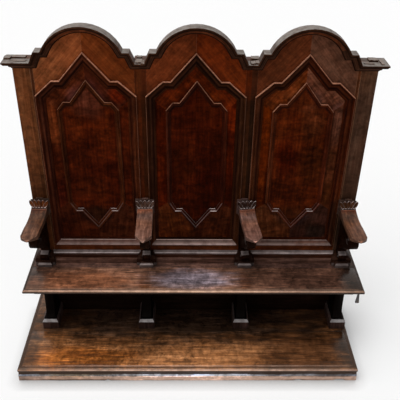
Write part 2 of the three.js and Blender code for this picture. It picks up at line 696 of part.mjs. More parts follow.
function armConsole(unit, play = 0) {
  const foot = PLINTH_HEIGHT + JOINT_GAP;
  const top = ARM_UNDERSIDE - JOINT_GAP;
  const footMiddle = [-(FOOT_REACH - FOOT_RADIUS), foot + FOOT_RADIUS];
  const voluteMiddle = [-VOLUTE_REACH, top - VOLUTE_NECK - VOLUTE_RADIUS];
  const waistZ = foot + 2.6 * FOOT_RADIUS;
  const rake = THREE.MathUtils.degToRad(CONSOLE_RAKE);
  const along = [-Math.cos(rake), Math.sin(rake)];
  const meet = -Math.PI / 2 - rake;
  const meetY = voluteMiddle[0] + VOLUTE_RADIUS * Math.cos(meet);
  const meetZ = voluteMiddle[1] + VOLUTE_RADIUS * Math.sin(meet);
  const shape = new THREE.Shape();
  shape.moveTo(beyondFace, foot);
  shape.lineTo(footMiddle[0], foot);
  shape.absarc(...footMiddle, FOOT_RADIUS, -Math.PI / 2, Math.PI / 2, true);
  shape.quadraticCurveTo(-CONSOLE_WAIST, foot + 2 * FOOT_RADIUS, -CONSOLE_WAIST, waistZ);
  const straight = 3 * VOLUTE_RADIUS;
  shape.bezierCurveTo(
    -CONSOLE_WAIST,
    waistZ + FOOT_RADIUS,
    meetY - along[0] * straight,
    meetZ - along[1] * straight,
    meetY,
    meetZ,
  );
  shape.absarc(...voluteMiddle, VOLUTE_RADIUS, meet, Math.PI / 2, true);
  shape.lineTo(voluteMiddle[0], top);
  shape.lineTo(beyondFace, top);
  const half = CONSOLE_THICKNESS / 2 + play;
  return tongued(armPlaced(sidePrism(shape, [-half, half], 9), unit), [foot - play, top], play);
}

// The plinth under a console and the pedestal behind it, at which the skirting ends
function plinthBlock(unit, play = 0) {
  const lean = Math.tan(THREE.MathUtils.degToRad(unit.splay)) * (PLINTH_REACH / 2);
  const plinth = [
    [JOINT_GAP - play, 0],
    [PLINTH_FACE + play, 0],
    [PLINTH_HEIGHT + play, PLINTH_INSET],
  ].map(([z, inset]) => [z, PLINTH_HALF - inset + play, PLINTH_REACH - inset + play]);
  const pedestal = [
    [JOINT_GAP - play, 0],
    ...PEDESTAL_CROWN.map(([rise, inset]) => [SKIRTING_FACE + rise * crown + play, inset * crown]),
  ].map(([z, inset]) => [z, PEDESTAL_HALF - inset + play, PEDESTAL_REACH - inset + play]);
  const block = join(stackedBlock(plinth, -JOINT_GAP), stackedBlock(pedestal, -JOINT_GAP));
  return block.translate(unit.shift + lean, 0, 0);
}

function seatPlinth(unit) {
  return cut(plinthBlock(unit), armConsole(unit, JOINT_GAP));
}

// Skirting between two consoles, cut to fit round them and their pedestals
function skirting(fromSide, toSide) {
  const shape = new THREE.Shape();
  shape.moveTo(-JOINT_GAP, JOINT_GAP);
  shape.lineTo(-JOINT_GAP, SKIRTING_HEIGHT);
  const shelf = SKIRTING_PROJECTION * 0.6;
  shape.quadraticCurveTo(-shelf * 0.4, SKIRTING_HEIGHT, -shelf * 0.75, SKIRTING_HEIGHT - crown * 0.25);
  const bulge = SKIRTING_HEIGHT - crown * 0.4;
  shape.quadraticCurveTo(-SKIRTING_PROJECTION, bulge, -SKIRTING_PROJECTION, SKIRTING_FACE);
  shape.lineTo(-SKIRTING_PROJECTION, JOINT_GAP);
  const blank = sidePrism(shape, [uprightX[fromSide], uprightX[toSide]], 4);
  const room = [fromSide, toSide].flatMap((side) => {
    const taken = [armConsole(ARM_UNITS[side], JOINT_GAP), plinthBlock(ARM_UNITS[side], JOINT_GAP)];
    return taken.map((geometry) => geometry.translate(uprightX[side], 0, 0));
  });
  return cut(blank, ...room);
}

function buildBack() {
  const back = group(root, 0, backY, SEAT_HEIGHT);
  const sides = Object.keys(uprightX);
  const bayX = BAYS.map((_, i) => i * BAY_PITCH - endBayX);

  piece(back, "left_post", upright(-backHalf, -postInner, false), WALNUT);
  piece(back, "right_post", upright(postInner, backHalf, false), WALNUT);
  const stileX = [endBayX + openHalf, postInner - JOINT_GAP];
  const leftStile = upright(-stileX[1], -stileX[0], true);
  const rightStile = upright(...stileX, true);
  piece(back, "left_stile", cut(leftStile, panelSeat(-endBayX)), WALNUT_DARK);
  piece(back, "right_stile", cut(rightStile, panelSeat(endBayX)), WALNUT_DARK);
  BAYS.slice(1).forEach((_, i) => {
    const middle = (bayX[i] + bayX[i + 1]) / 2;
    const post = upright(middle - mullionHalf, middle + mullionHalf, true);
    const name = middle < 0 ? "left_mullion" : "right_mullion";
    piece(back, name, cut(post, panelSeat(bayX[i]), panelSeat(bayX[i + 1])), WALNUT_DARK);
  });
  const railHalf = postInner - JOINT_GAP;
  const rail = box([-railHalf, railHalf], [0, BOTTOM_RAIL_THICKNESS], [JOINT_GAP, railTop]);
  piece(back, "bottom_rail", cut(rail, ...bayX.map(panelSeat)), WALNUT_DARK);

  BAYS.forEach((name, i) => {
    const bay = group(back, bayX[i], 0, 0);
    const isFirst = i === 0;
    const isLast = i === BAYS.length - 1;
    piece(bay, name + "_bay_head_left", headBoard(-1), WALNUT);
    piece(bay, name + "_bay_head_right", headBoard(1), WALNUT);
    piece(bay, name + "_panel", frontPrism(polygon(panelOutline), panelY), WALNUT_RED, 0.3);
    piece(bay, name + "_outer_moulding", mouldingRing(frameOutline, frameSection()), WALNUT_DARK, 0.35);
    piece(bay, name + "_inner_moulding", mouldingRing(innerOutline, innerSection()), WALNUT_DARK, 0.35);
    const buttX = BAY_PITCH / 2 - JOINT_GAP / 2;
    const cornerX = backHalf - endBayX;
    const pastCorner = cornerX + 2 * CORNICE_PROJECTION;
    const line = corniceLine(isFirst ? -pastCorner : -buttX, isLast ? pastCorner : buttX);
    const waste = [isFirst && mitreWaste(-1, cornerX), isLast && mitreWaste(1, cornerX)].filter(Boolean);
    piece(bay, name + "_cornice", cut(corniceLength(line), ...waste), WALNUT, 0.5);
    piece(back, name + "_skirting", skirting(sides[i], sides[i + 1]), WALNUT, 0.35);
  });
  piece(back, "left_cornice_return", corniceReturn(-1), WALNUT, 0.5);
  piece(back, "right_cornice_return", corniceReturn(1), WALNUT, 0.5);

  for (const side of sides) {
    const place = group(back, uprightX[side], 0, 0);
    piece(place, side + "_arm", arm(ARM_UNITS[side]), WALNUT_WORN, 0.4);
    piece(place, side + "_console", armConsole(ARM_UNITS[side]), WALNUT_DARK);
    piece(place, side + "_seat_plinth", seatPlinth(ARM_UNITS[side]), WALNUT_DARK, 0.4);
  }
}

// Staple and link plate, about the pin that the plate swings on
function buildLink() {
  const link = group(root, seatHalf - LINK_INSET, seatFrontY + LINK_SETBACK, seatUnderside - LINK_DROP);
  const barLength = 2 * (STAPLE_HALF + STAPLE_RADIUS);
  const bar = new THREE.CylinderGeometry(STAPLE_RADIUS, STAPLE_RADIUS, barLength, ROUND_SIDES);
  const legTop = LINK_DROP - JOINT_GAP;
  const legs = [-STAPLE_HALF, STAPLE_HALF].map((y) =>
    new THREE.CylinderGeometry(STAPLE_RADIUS, STAPLE_RADIUS, legTop, ROUND_SIDES)
      .rotateX(Math.PI / 2)
      .translate(0, y, legTop / 2),
  );
  piece(link, "link_staple", join(bar, ...legs), IRON, 0.6, 0.8);

  const lean = Math.asin(LINK_HALF_TOP / LINK_EYE);
  const shape = new THREE.Shape();
  shape.absarc(0, 0, LINK_EYE, -Math.PI / 2 + lean, -Math.PI / 2 - lean + 2 * Math.PI, false);
  shape.lineTo(-LINK_HALF_FOOT, -LINK_LENGTH + LINK_HALF_FOOT / 2);
  shape.quadraticCurveTo(-LINK_HALF_FOOT, -LINK_LENGTH, 0, -LINK_LENGTH);
  shape.quadraticCurveTo(LINK_HALF_FOOT, -LINK_LENGTH, LINK_HALF_FOOT, -LINK_LENGTH + LINK_HALF_FOOT / 2);
  const eye = new THREE.Path();
  eye.absarc(0, 0, STAPLE_RADIUS + LINK_PLAY, 0, 2 * Math.PI, true);
  shape.holes.push(eye);
  const plate = frontPrism(shape, [-LINK_THICKNESS / 2, LINK_THICKNESS / 2]);
  piece(link, "link_plate", plate, IRON, 0.6, 0.8);
}

buildPlatform();
buildSeat();
buildBack();
buildLink();

export default root;
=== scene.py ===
import math
import random

import bpy
from mathutils import Matrix, Vector, noise


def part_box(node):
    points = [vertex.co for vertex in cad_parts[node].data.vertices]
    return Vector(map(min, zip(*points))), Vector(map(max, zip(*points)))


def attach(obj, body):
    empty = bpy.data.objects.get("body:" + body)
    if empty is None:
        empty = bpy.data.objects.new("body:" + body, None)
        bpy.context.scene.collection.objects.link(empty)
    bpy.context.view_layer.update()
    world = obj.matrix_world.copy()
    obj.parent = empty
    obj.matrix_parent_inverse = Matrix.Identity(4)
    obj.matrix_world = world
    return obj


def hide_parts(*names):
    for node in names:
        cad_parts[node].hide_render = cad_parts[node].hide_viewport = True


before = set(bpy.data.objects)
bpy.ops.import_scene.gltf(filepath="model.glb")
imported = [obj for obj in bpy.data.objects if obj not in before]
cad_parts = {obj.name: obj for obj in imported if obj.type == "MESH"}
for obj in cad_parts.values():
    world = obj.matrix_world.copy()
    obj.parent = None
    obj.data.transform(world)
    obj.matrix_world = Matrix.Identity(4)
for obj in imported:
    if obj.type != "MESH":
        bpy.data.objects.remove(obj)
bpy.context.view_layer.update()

noise.seed_set(29)  # the same waves and splits in each run
bayNames = ("left", "middle", "right")
sideNames = ("left", "centre_left", "centre_right", "right")
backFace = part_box("left_post")[0].y  # front of the uprights
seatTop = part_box("seat_front_plank")[1].z
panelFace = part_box("middle_panel")[0].y
jointGap = 0.0003  # between pieces that touch
print("frame loaded:", len(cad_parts), "nodes")

# Camera, light and floor

photoCamera = {
    "place": (-0.0395, -3.062, 3.1773),
    "pitch": 32.0685,  # degrees down
    "yaw": 1.2567,
    "roll": 0.9572,
    "lens": 54.956,
    "shiftY": -0.0273,
    "sensor": 36,
}

studio = {
    "key": {"direction": (0.10, 0.19, -0.98), "strength": 1.85, "angle": 30},  # overhead, a little in front
    "side": {"direction": (0.78, 0.18, -0.60), "strength": 1.05, "angle": 60},  # from the left
    "front": {"direction": (0.05, 0.85, -0.50), "strength": 0.40, "angle": 90},
    "ambient": 0.24,
    "floorSize": 80,
    "floorColour": (0.91, 0.91, 0.91),
    "floorGlow": 0.12,  # share of plain white in what the camera sees
    "contactReach": 0.092,  # how far the painted shade at the foot of the platform spreads
    "contactLean": (0, 0.92, 0.4),  # it lies mostly in front
    "contactDark": 0.18, "contactSamples": 8,
}


def setCamera():
    pitch, yaw, roll = (math.radians(photoCamera[key]) for key in ("pitch", "yaw", "roll"))
    ahead = Vector((math.sin(yaw) * math.cos(pitch), math.cos(yaw) * math.cos(pitch), -math.sin(pitch)))
    level = Vector((math.cos(yaw), -math.sin(yaw), 0))
    upright = level.cross(ahead)
    right = level * math.cos(roll) + upright * math.sin(roll)
    up = right.cross(ahead)
    data = bpy.data.cameras.new("photoCamera")
    data.lens = photoCamera["lens"]
    data.sensor_width = photoCamera["sensor"]
    data.shift_y = photoCamera["shiftY"]
    camera = bpy.data.objects.new("photoCamera", data)
    bpy.context.collection.objects.link(camera)
    turn = Matrix((right, up, -ahead)).transposed().to_4x4()
    camera.matrix_world = Matrix.Translation(photoCamera["place"]) @ turn
    bpy.context.scene.camera = camera


def addSun(name, look):
    data = bpy.data.lights.new(name, "SUN")
    data.energy = look["strength"]
    data.angle = math.radians(look["angle"])
    sun = bpy.data.objects.new(name, data)
    sun.rotation_euler = Vector(look["direction"]).to_track_quat("-Z", "Y").to_euler()
    bpy.context.collection.objects.link(sun)


def put(tree, kind, inputs=None, **settings):
    node = tree.nodes.new(kind)
    for name, value in settings.items():
        setattr(node, name, value)
    for key, value in (inputs or {}).items():
        if isinstance(value, bpy.types.NodeSocket):
            tree.links.new(value, node.inputs[key])
        else:
            node.inputs[key].default_value = value
    return node


def newTree(owner):
    owner.use_nodes = True
    owner.node_tree.nodes.clear()
    return owner.node_tree


def calc(tree, operation, first, second=0.0, clamp=False):
    inputs = {0: first, 1: second}
    return put(tree, "ShaderNodeMath", inputs, operation=operation, use_clamp=clamp).outputs[0]


def product(tree, first, second, clamp=False):
    return calc(tree, "MULTIPLY", first, second, clamp)


def total(tree, first, second, clamp=False):
    return calc(tree, "ADD", first, second, clamp)


def mixColour(tree, share, first, second, mode="MIX"):
    inputs = {0: share, 6: first, 7: second}
    settings = {"data_type": "RGBA", "blend_type": mode, "clamp_factor": True}
    return put(tree, "ShaderNodeMix", inputs, **settings).outputs[2]


def multiplied(tree, first, second):
    return put(tree, "ShaderNodeVectorMath", {0: first, 1: second}, operation="MULTIPLY").outputs[0]


def scaled(tree, colour, factor):
    return put(tree, "ShaderNodeVectorMath", {0: colour, "Scale": factor}, operation="SCALE").outputs[0]


def ranged(tree, value, low, high, toLow=0.0, toHigh=1.0, kind="SMOOTHSTEP"):
    inputs = {"Value": value, "From Min": low, "From Max": high, "To Min": toLow, "To Max": toHigh}
    return put(tree, "ShaderNodeMapRange", inputs, interpolation_type=kind).outputs[0]


def between(tree, share, first, second):
    return ranged(tree, share, 0.0, 1.0, first, second, "LINEAR")


def seenRay(tree):
    rays = put(tree, "ShaderNodeLightPath")
    seen = calc(tree, "MAXIMUM", rays.outputs["Is Camera Ray"], rays.outputs["Is Glossy Ray"])
    return calc(tree, "MAXIMUM", seen, rays.outputs["Is Transmission Ray"])


def setStudio():
    for name in ("key", "side", "front"):
        addSun(name + "Light", studio[name])
    world = bpy.data.worlds.new("studioWorld")
    bpy.context.scene.world = world
    tree = newTree(world)
    dim = put(tree, "ShaderNodeBackground", {"Color": (1, 1, 1, 1), "Strength": studio["ambient"]})
    white = put(tree, "ShaderNodeBackground", {"Color": (1, 1, 1, 1), "Strength": 1.0})
    both = put(tree, "ShaderNodeMixShader", {0: seenRay(tree), 1: dim.outputs[0], 2: white.outputs[0]})
    put(tree, "ShaderNodeOutputWorld", {"Surface": both.outputs[0]})

    bpy.ops.object.select_all(action="DESELECT")
    bpy.ops.mesh.primitive_plane_add(size=studio["floorSize"])
    floor = bpy.context.object
    floor.name = "studioFloor"
    material = bpy.data.materials.new("paleFloor")
    tree = newTree(material)
    # painted shade: an occlusion node darkens the floor's colour near the platform, mostly in front
    lean = put(tree, "ShaderNodeCombineXYZ", dict(enumerate(studio["contactLean"]))).outputs[0]
    inputs = {"Distance": studio["contactReach"], "Normal": lean}
    contact = put(tree, "ShaderNodeAmbientOcclusion", inputs, samples=studio["contactSamples"])
    shade = between(tree, contact.outputs["AO"], studio["contactDark"], 1.0)
    matt = put(tree, "ShaderNodeBsdfDiffuse", {"Color": scaled(tree, studio["floorColour"], shade)})
    glow = put(tree, "ShaderNodeEmission", {"Color": (1, 1, 1, 1), "Strength": 1.0})
    share = product(tree, seenRay(tree), studio["floorGlow"])
    both = put(tree, "ShaderNodeMixShader", {0: share, 1: matt.outputs[0], 2: glow.outputs[0]})
    put(tree, "ShaderNodeOutputMaterial", {"Surface": both.outputs[0]})
    floor.data.materials.append(material)
    bpy.context.scene.view_settings.view_transform = "Standard"


setCamera()
setStudio()
print("camera, light and floor set")

# Finishes


def newGroup(name, inputs, outputs):
    tree = bpy.data.node_groups.new(name, "ShaderNodeTree")
    for label, kind in inputs:
        tree.interface.new_socket(label, in_out="INPUT", socket_type="NodeSocket" + kind)
    for label, kind in outputs:
        tree.interface.new_socket(label, in_out="OUTPUT", socket_type="NodeSocket" + kind)
    return tree, tree.nodes.new("NodeGroupInput").outputs, tree.nodes.new("NodeGroupOutput").inputs


def useGroup(tree, group, inputs):
    return put(tree, "ShaderNodeGroup", inputs, node_tree=group).outputs


noiseRoughness = 0.55


def stretchedNoise(tree, vector, stretch, detail, distortion=0.0):
    spread = multiplied(tree, vector, stretch)
    inputs = {"Vector": spread, "Scale": 1.0, "Detail": detail, "Roughness": noiseRoughness,
              "Distortion": distortion}
    return put(tree, "ShaderNodeTexNoise", inputs).outputs[0]


def evenNoise(tree, place, scale, detail, distortion=0.0):
    return stretchedNoise(tree, place, (scale, scale, scale), detail, distortion)


def swing(tree, value, weight):
    # lightens as much as it darkens
    return product(tree, calc(tree, "SUBTRACT", value, 0.5), weight)


# noises: stretch along and across the grain, or one scale for all ways, then detail and distortion
figureLook = {
    "cloud": ((2.2, 9.0, 9.0), 3.0, 0.6), "streak": ((4.5, 72.0, 72.0), 5.0, 0.25),
    "fibre": ((14.0, 420.0, 420.0), 2.0), "curl": ((15.0, 5.0, 5.0), 4.0, 1.2),
    "cloudWeight": 0.9, "streakWeight": 1.7, "fibreWeight": 0.5, "ringWeight": 0.07,
    "rings": 210.0, "ringWave": 0.16,  # how close the growth rings lie, and how far the clouds bend them
    "streakRelief": 0.6, "curlRange": (0.30, 0.70),
}
mottleLook = {
    "noises": [(2.2, 2.0, 0.4), (26.0, 4.0, 0.4), (75.0, 3.0, 0.3)],
    "weights": (0.42, 0.38, 0.20), "range": (0.33, 0.67),
}
wornAndGleamLook = {"noise": (23.0, 4.0), "broken": (0.32, 0.62, 0.55, 1.0)}
dustLook = {
    "noise": (31.0, 5.0), "patchy": (0.25, 0.65, 0.45, 1.0), "soft": 0.25, "colour": (0.30, 0.27, 0.245),
}
patchLook = {"noise": ((7.0, 24.0, 10.0), 4.0), "ragged": 1.1, "rim": (1.05, 0.35)}
scuffLook = {
    "rub": ((11.0, 190.0, 190.0), 3.0), "rubRange": (0.54, 0.66),
    "place": ((3.0, 12.0, 12.0), 2.0), "placeRange": (0.40, 0.60),
    "scratch": ((6.0, 130.0, 130.0), 2.0, 0.4), "scratchRange": (0.40, 0.30),
}


def makeFigureGroup():
    # figure, streaks, growth rings and pores along the first axis of the grain, and bands across it
    look = figureLook
    outputs = [("Figure", "Float"), ("Fibre", "Float"), ("Curl", "Float")]
    tree, given, result = newGroup("walnutFigure", [("Grain", "Vector")], outputs)
    noises = ("cloud", "streak", "fibre", "curl")
    cloud, streak, fibre, curl = (stretchedNoise(tree, given["Grain"], *look[name]) for name in noises)
    parts = put(tree, "ShaderNodeSeparateXYZ", {0: given["Grain"]}).outputs
    fromHeart = put(tree, "ShaderNodeCombineXYZ", {1: parts[1], 2: parts[2]}).outputs[0]
    distance = put(tree, "ShaderNodeVectorMath", {0: fromHeart}, operation="LENGTH").outputs[1]
    waved = total(tree, distance, product(tree, cloud, look["ringWave"]))
    ring = calc(tree, "SINE", product(tree, waved, look["rings"]))
    value = total(tree, swing(tree, cloud, look["cloudWeight"]), swing(tree, streak, look["streakWeight"]))
    value = total(tree, value, product(tree, ring, look["ringWeight"]))
    value = total(tree, value, swing(tree, fibre, look["fibreWeight"]))
    tree.links.new(total(tree, value, 0.5, clamp=True), result["Figure"])
    tree.links.new(total(tree, product(tree, streak, look["streakRelief"]), fibre), result["Fibre"])
    tree.links.new(ranged(tree, curl, *look["curlRange"]), result["Curl"])
    return tree


def makeMottleGroup():
    # uneven wax and age, from blotches some hands wide to small stains
    tree, given, result = newGroup("agedMottle", [("Place", "Vector")], [("Mottle", "Float")])
    wide, small, fine = (product(tree, evenNoise(tree, given["Place"], *sizes), weight)
                         for sizes, weight in zip(mottleLook["noises"], mottleLook["weights"]))
    blotches = total(tree, total(tree, wide, small), fine)
    tree.links.new(ranged(tree, blotches, *mottleLook["range"]), result["Mottle"])
    return tree


def makeWornAndGleamGroup():
    # edges rubbed bare, and painted highlights on edges, broken up along their length
    inputs = [("Edge", "Float"), ("Place", "Vector"), ("Amount", "Float")]
    tree, given, result = newGroup("wornAndGleamEdge", inputs, [("Mask", "Float")])
    broken = ranged(tree, evenNoise(tree, given["Place"], *wornAndGleamLook["noise"]), *wornAndGleamLook["broken"])
    share = product(tree, product(tree, given["Edge"], broken), given["Amount"], clamp=True)
    tree.links.new(share, result["Mask"])
    return tree


def makeDustGroup():
    # dust lies where the surface faces up
    inputs = [("Place", "Vector"), ("Slope", "Float"), ("Amount", "Float")]
    tree, given, result = newGroup("settledDust", inputs, [("Mask", "Float")])
    normal = put(tree, "ShaderNodeNewGeometry").outputs["Normal"]
    facing = put(tree, "ShaderNodeSeparateXYZ", {0: normal}).outputs[2]
    lying = ranged(tree, calc(tree, "SUBTRACT", facing, given["Slope"]), 0.0, dustLook["soft"])
    patchy = ranged(tree, evenNoise(tree, given["Place"], *dustLook["noise"]), *dustLook["patchy"])
    share = product(tree, product(tree, lying, patchy), given["Amount"], clamp=True)
    tree.links.new(share, result["Mask"])
    return tree


def makePatchGroup():
    # a patch with a ragged rim, used for wear and for painted light and shade
    inputs = [("Place", "Vector"), ("Centre", "Vector"), ("Size", "Vector")]
    tree, given, result = newGroup("tonePatch", inputs, [("Mask", "Float")])
    off = put(tree, "ShaderNodeVectorMath", {0: given["Place"], 1: given["Centre"]}, operation="SUBTRACT")
    shares = put(tree, "ShaderNodeVectorMath", {0: off.outputs[0], 1: given["Size"]}, operation="DIVIDE")
    reach = put(tree, "ShaderNodeVectorMath", {0: shares.outputs[0]}, operation="LENGTH").outputs[1]
    ragged = swing(tree, stretchedNoise(tree, given["Place"], *patchLook["noise"]), patchLook["ragged"])
    tree.links.new(ranged(tree, total(tree, reach, ragged), *patchLook["rim"]), result["Mask"])
    return tree


def makeScuffGroup():
    # pale rubs and dark scratches along the grain
    outputs = [("Light", "Float"), ("Dark", "Float")]
    tree, given, result = newGroup("scuffMarks", [("Grain", "Vector")], outputs)

    def marksOf(name):
        value = stretchedNoise(tree, given["Grain"], *scuffLook[name])
        return ranged(tree, value, *scuffLook[name + "Range"])

    tree.links.new(product(tree, marksOf("rub"), marksOf("place")), result["Light"])
    tree.links.new(marksOf("scratch"), result["Dark"])
    return tree


figureGroup = makeFigureGroup()
mottleGroup = makeMottleGroup()
wornAndGleamGroup = makeWornAndGleamGroup()
dustGroup = makeDustGroup()
patchGroup = makePatchGroup()
scuffGroup = makeScuffGroup()

walnutLooks = {
    "frame_walnut": {
        "dark": (0.088, 0.0215, 0.0063), "mid": (0.125, 0.033, 0.0100), "light": (0.172, 0.051, 0.0165),
        "age": (0.52, 1.48), "curl": (0.80, 1.20),
        "wornAndGleam": (0.26, 0.12, 0.06), "wear": 0.5, "dust": (0.7, 0.25),  # least slope, amount
        "rough": (0.36, 0.52), "specular": 0.04, "specularTint": (1, 0.62, 0.42), "grainDepth": 0.25,
    },
    "panel_walnut": {
        "dark": (0.033, 0.0044, 0.0010), "mid": (0.052, 0.0078, 0.0019), "light": (0.080, 0.0140, 0.0034),
        "age": (0.35, 1.65), "curl": (0.66, 1.34),
        "wornAndGleam": (0.12, 0.04, 0.02), "wear": 0.2,
        "rough": (0.28, 0.42), "specular": 0.022, "specularTint": (1, 0.45, 0.2), "grainDepth": 0.15,
    },
    "moulding_walnut": {
        "dark": (0.010, 0.0024, 0.0008), "mid": (0.019, 0.0048, 0.0017), "light": (0.038, 0.0108, 0.0042),
        "age": (0.60, 1.40), "curl": (0.90, 1.10),
        "wornAndGleam": (0.56, 0.46, 0.44), "wornAndGleamWarm": (0.62, 0.28, 0.17), "wear": 0.9,
        "rough": (0.26, 0.42), "specular": 0.02, "specularTint": (1, 0.7, 0.55), "grainDepth": 0.2,
    },
    "cornice_walnut": {
        "dark": (0.020, 0.0062, 0.0023), "mid": (0.040, 0.0125, 0.0046), "light": (0.078, 0.026, 0.0105),
        "age": (0.65, 1.35), "curl": (0.90, 1.10),
        "wornAndGleam": (0.34, 0.22, 0.16), "wear": 0.6, "dust": (0.45, 0.80),
        "rough": (0.40, 0.60), "specular": 0.05, "specularTint": (1, 0.8, 0.7), "grainDepth": 0.3,
    },
    "seat_walnut": {
        "dark": (0.052, 0.023, 0.014), "mid": (0.125, 0.059, 0.036), "light": (0.240, 0.118, 0.073),
        "age": (0.32, 1.68), "curl": (0.80, 1.20),
        "wornAndGleam": (0.62, 0.37, 0.25), "wear": 0.95,
        "rough": (0.16, 0.34), "specular": 0.32, "specularTint": (1, 0.84, 0.72), "grainDepth": 0.25,
        "scuffs": (1.9, 0.5),  # how light the rubs and how dark the scratches are
    },
    "arm_walnut": {
        "dark": (0.052, 0.021, 0.012), "mid": (0.115, 0.050, 0.030), "light": (0.215, 0.104, 0.066),
        "age": (0.42, 1.58), "curl": (0.80, 1.20),
        "wornAndGleam": (0.62, 0.44, 0.34), "wear": 0.9,
        "rough": (0.36, 0.55), "specular": 0.20, "specularTint": (1, 0.9, 0.85), "grainDepth": 0.25,
    },
    "platform_walnut": {
        "dark": (0.080, 0.028, 0.0085), "mid": (0.185, 0.071, 0.024), "light": (0.330, 0.142, 0.056),
        "age": (0.28, 1.72), "curl": (0.80, 1.20),
        "wornAndGleam": (0.64, 0.42, 0.32), "wear": 0.95,
        "rough": (0.13, 0.34), "specular": 0.40, "specularTint": (1, 0.82, 0.68), "grainDepth": 0.3,
        "scuffs": (1.9, 0.5),
    },
    # near-black: painted shade for the parts under the seat and the platform's frame
    "shadow_walnut": {
        "dark": (0.007, 0.0030, 0.0018), "mid": (0.014, 0.0062, 0.0037), "light": (0.028, 0.0125, 0.0078),
        "age": (0.65, 1.35), "curl": (0.90, 1.10),
        "wornAndGleam": (0.45, 0.42, 0.42), "wear": 0.9,
        "rough": (0.34, 0.52), "specular": 0.025, "specularTint": (1, 0.9, 0.85), "grainDepth": 0.25,
    },
}

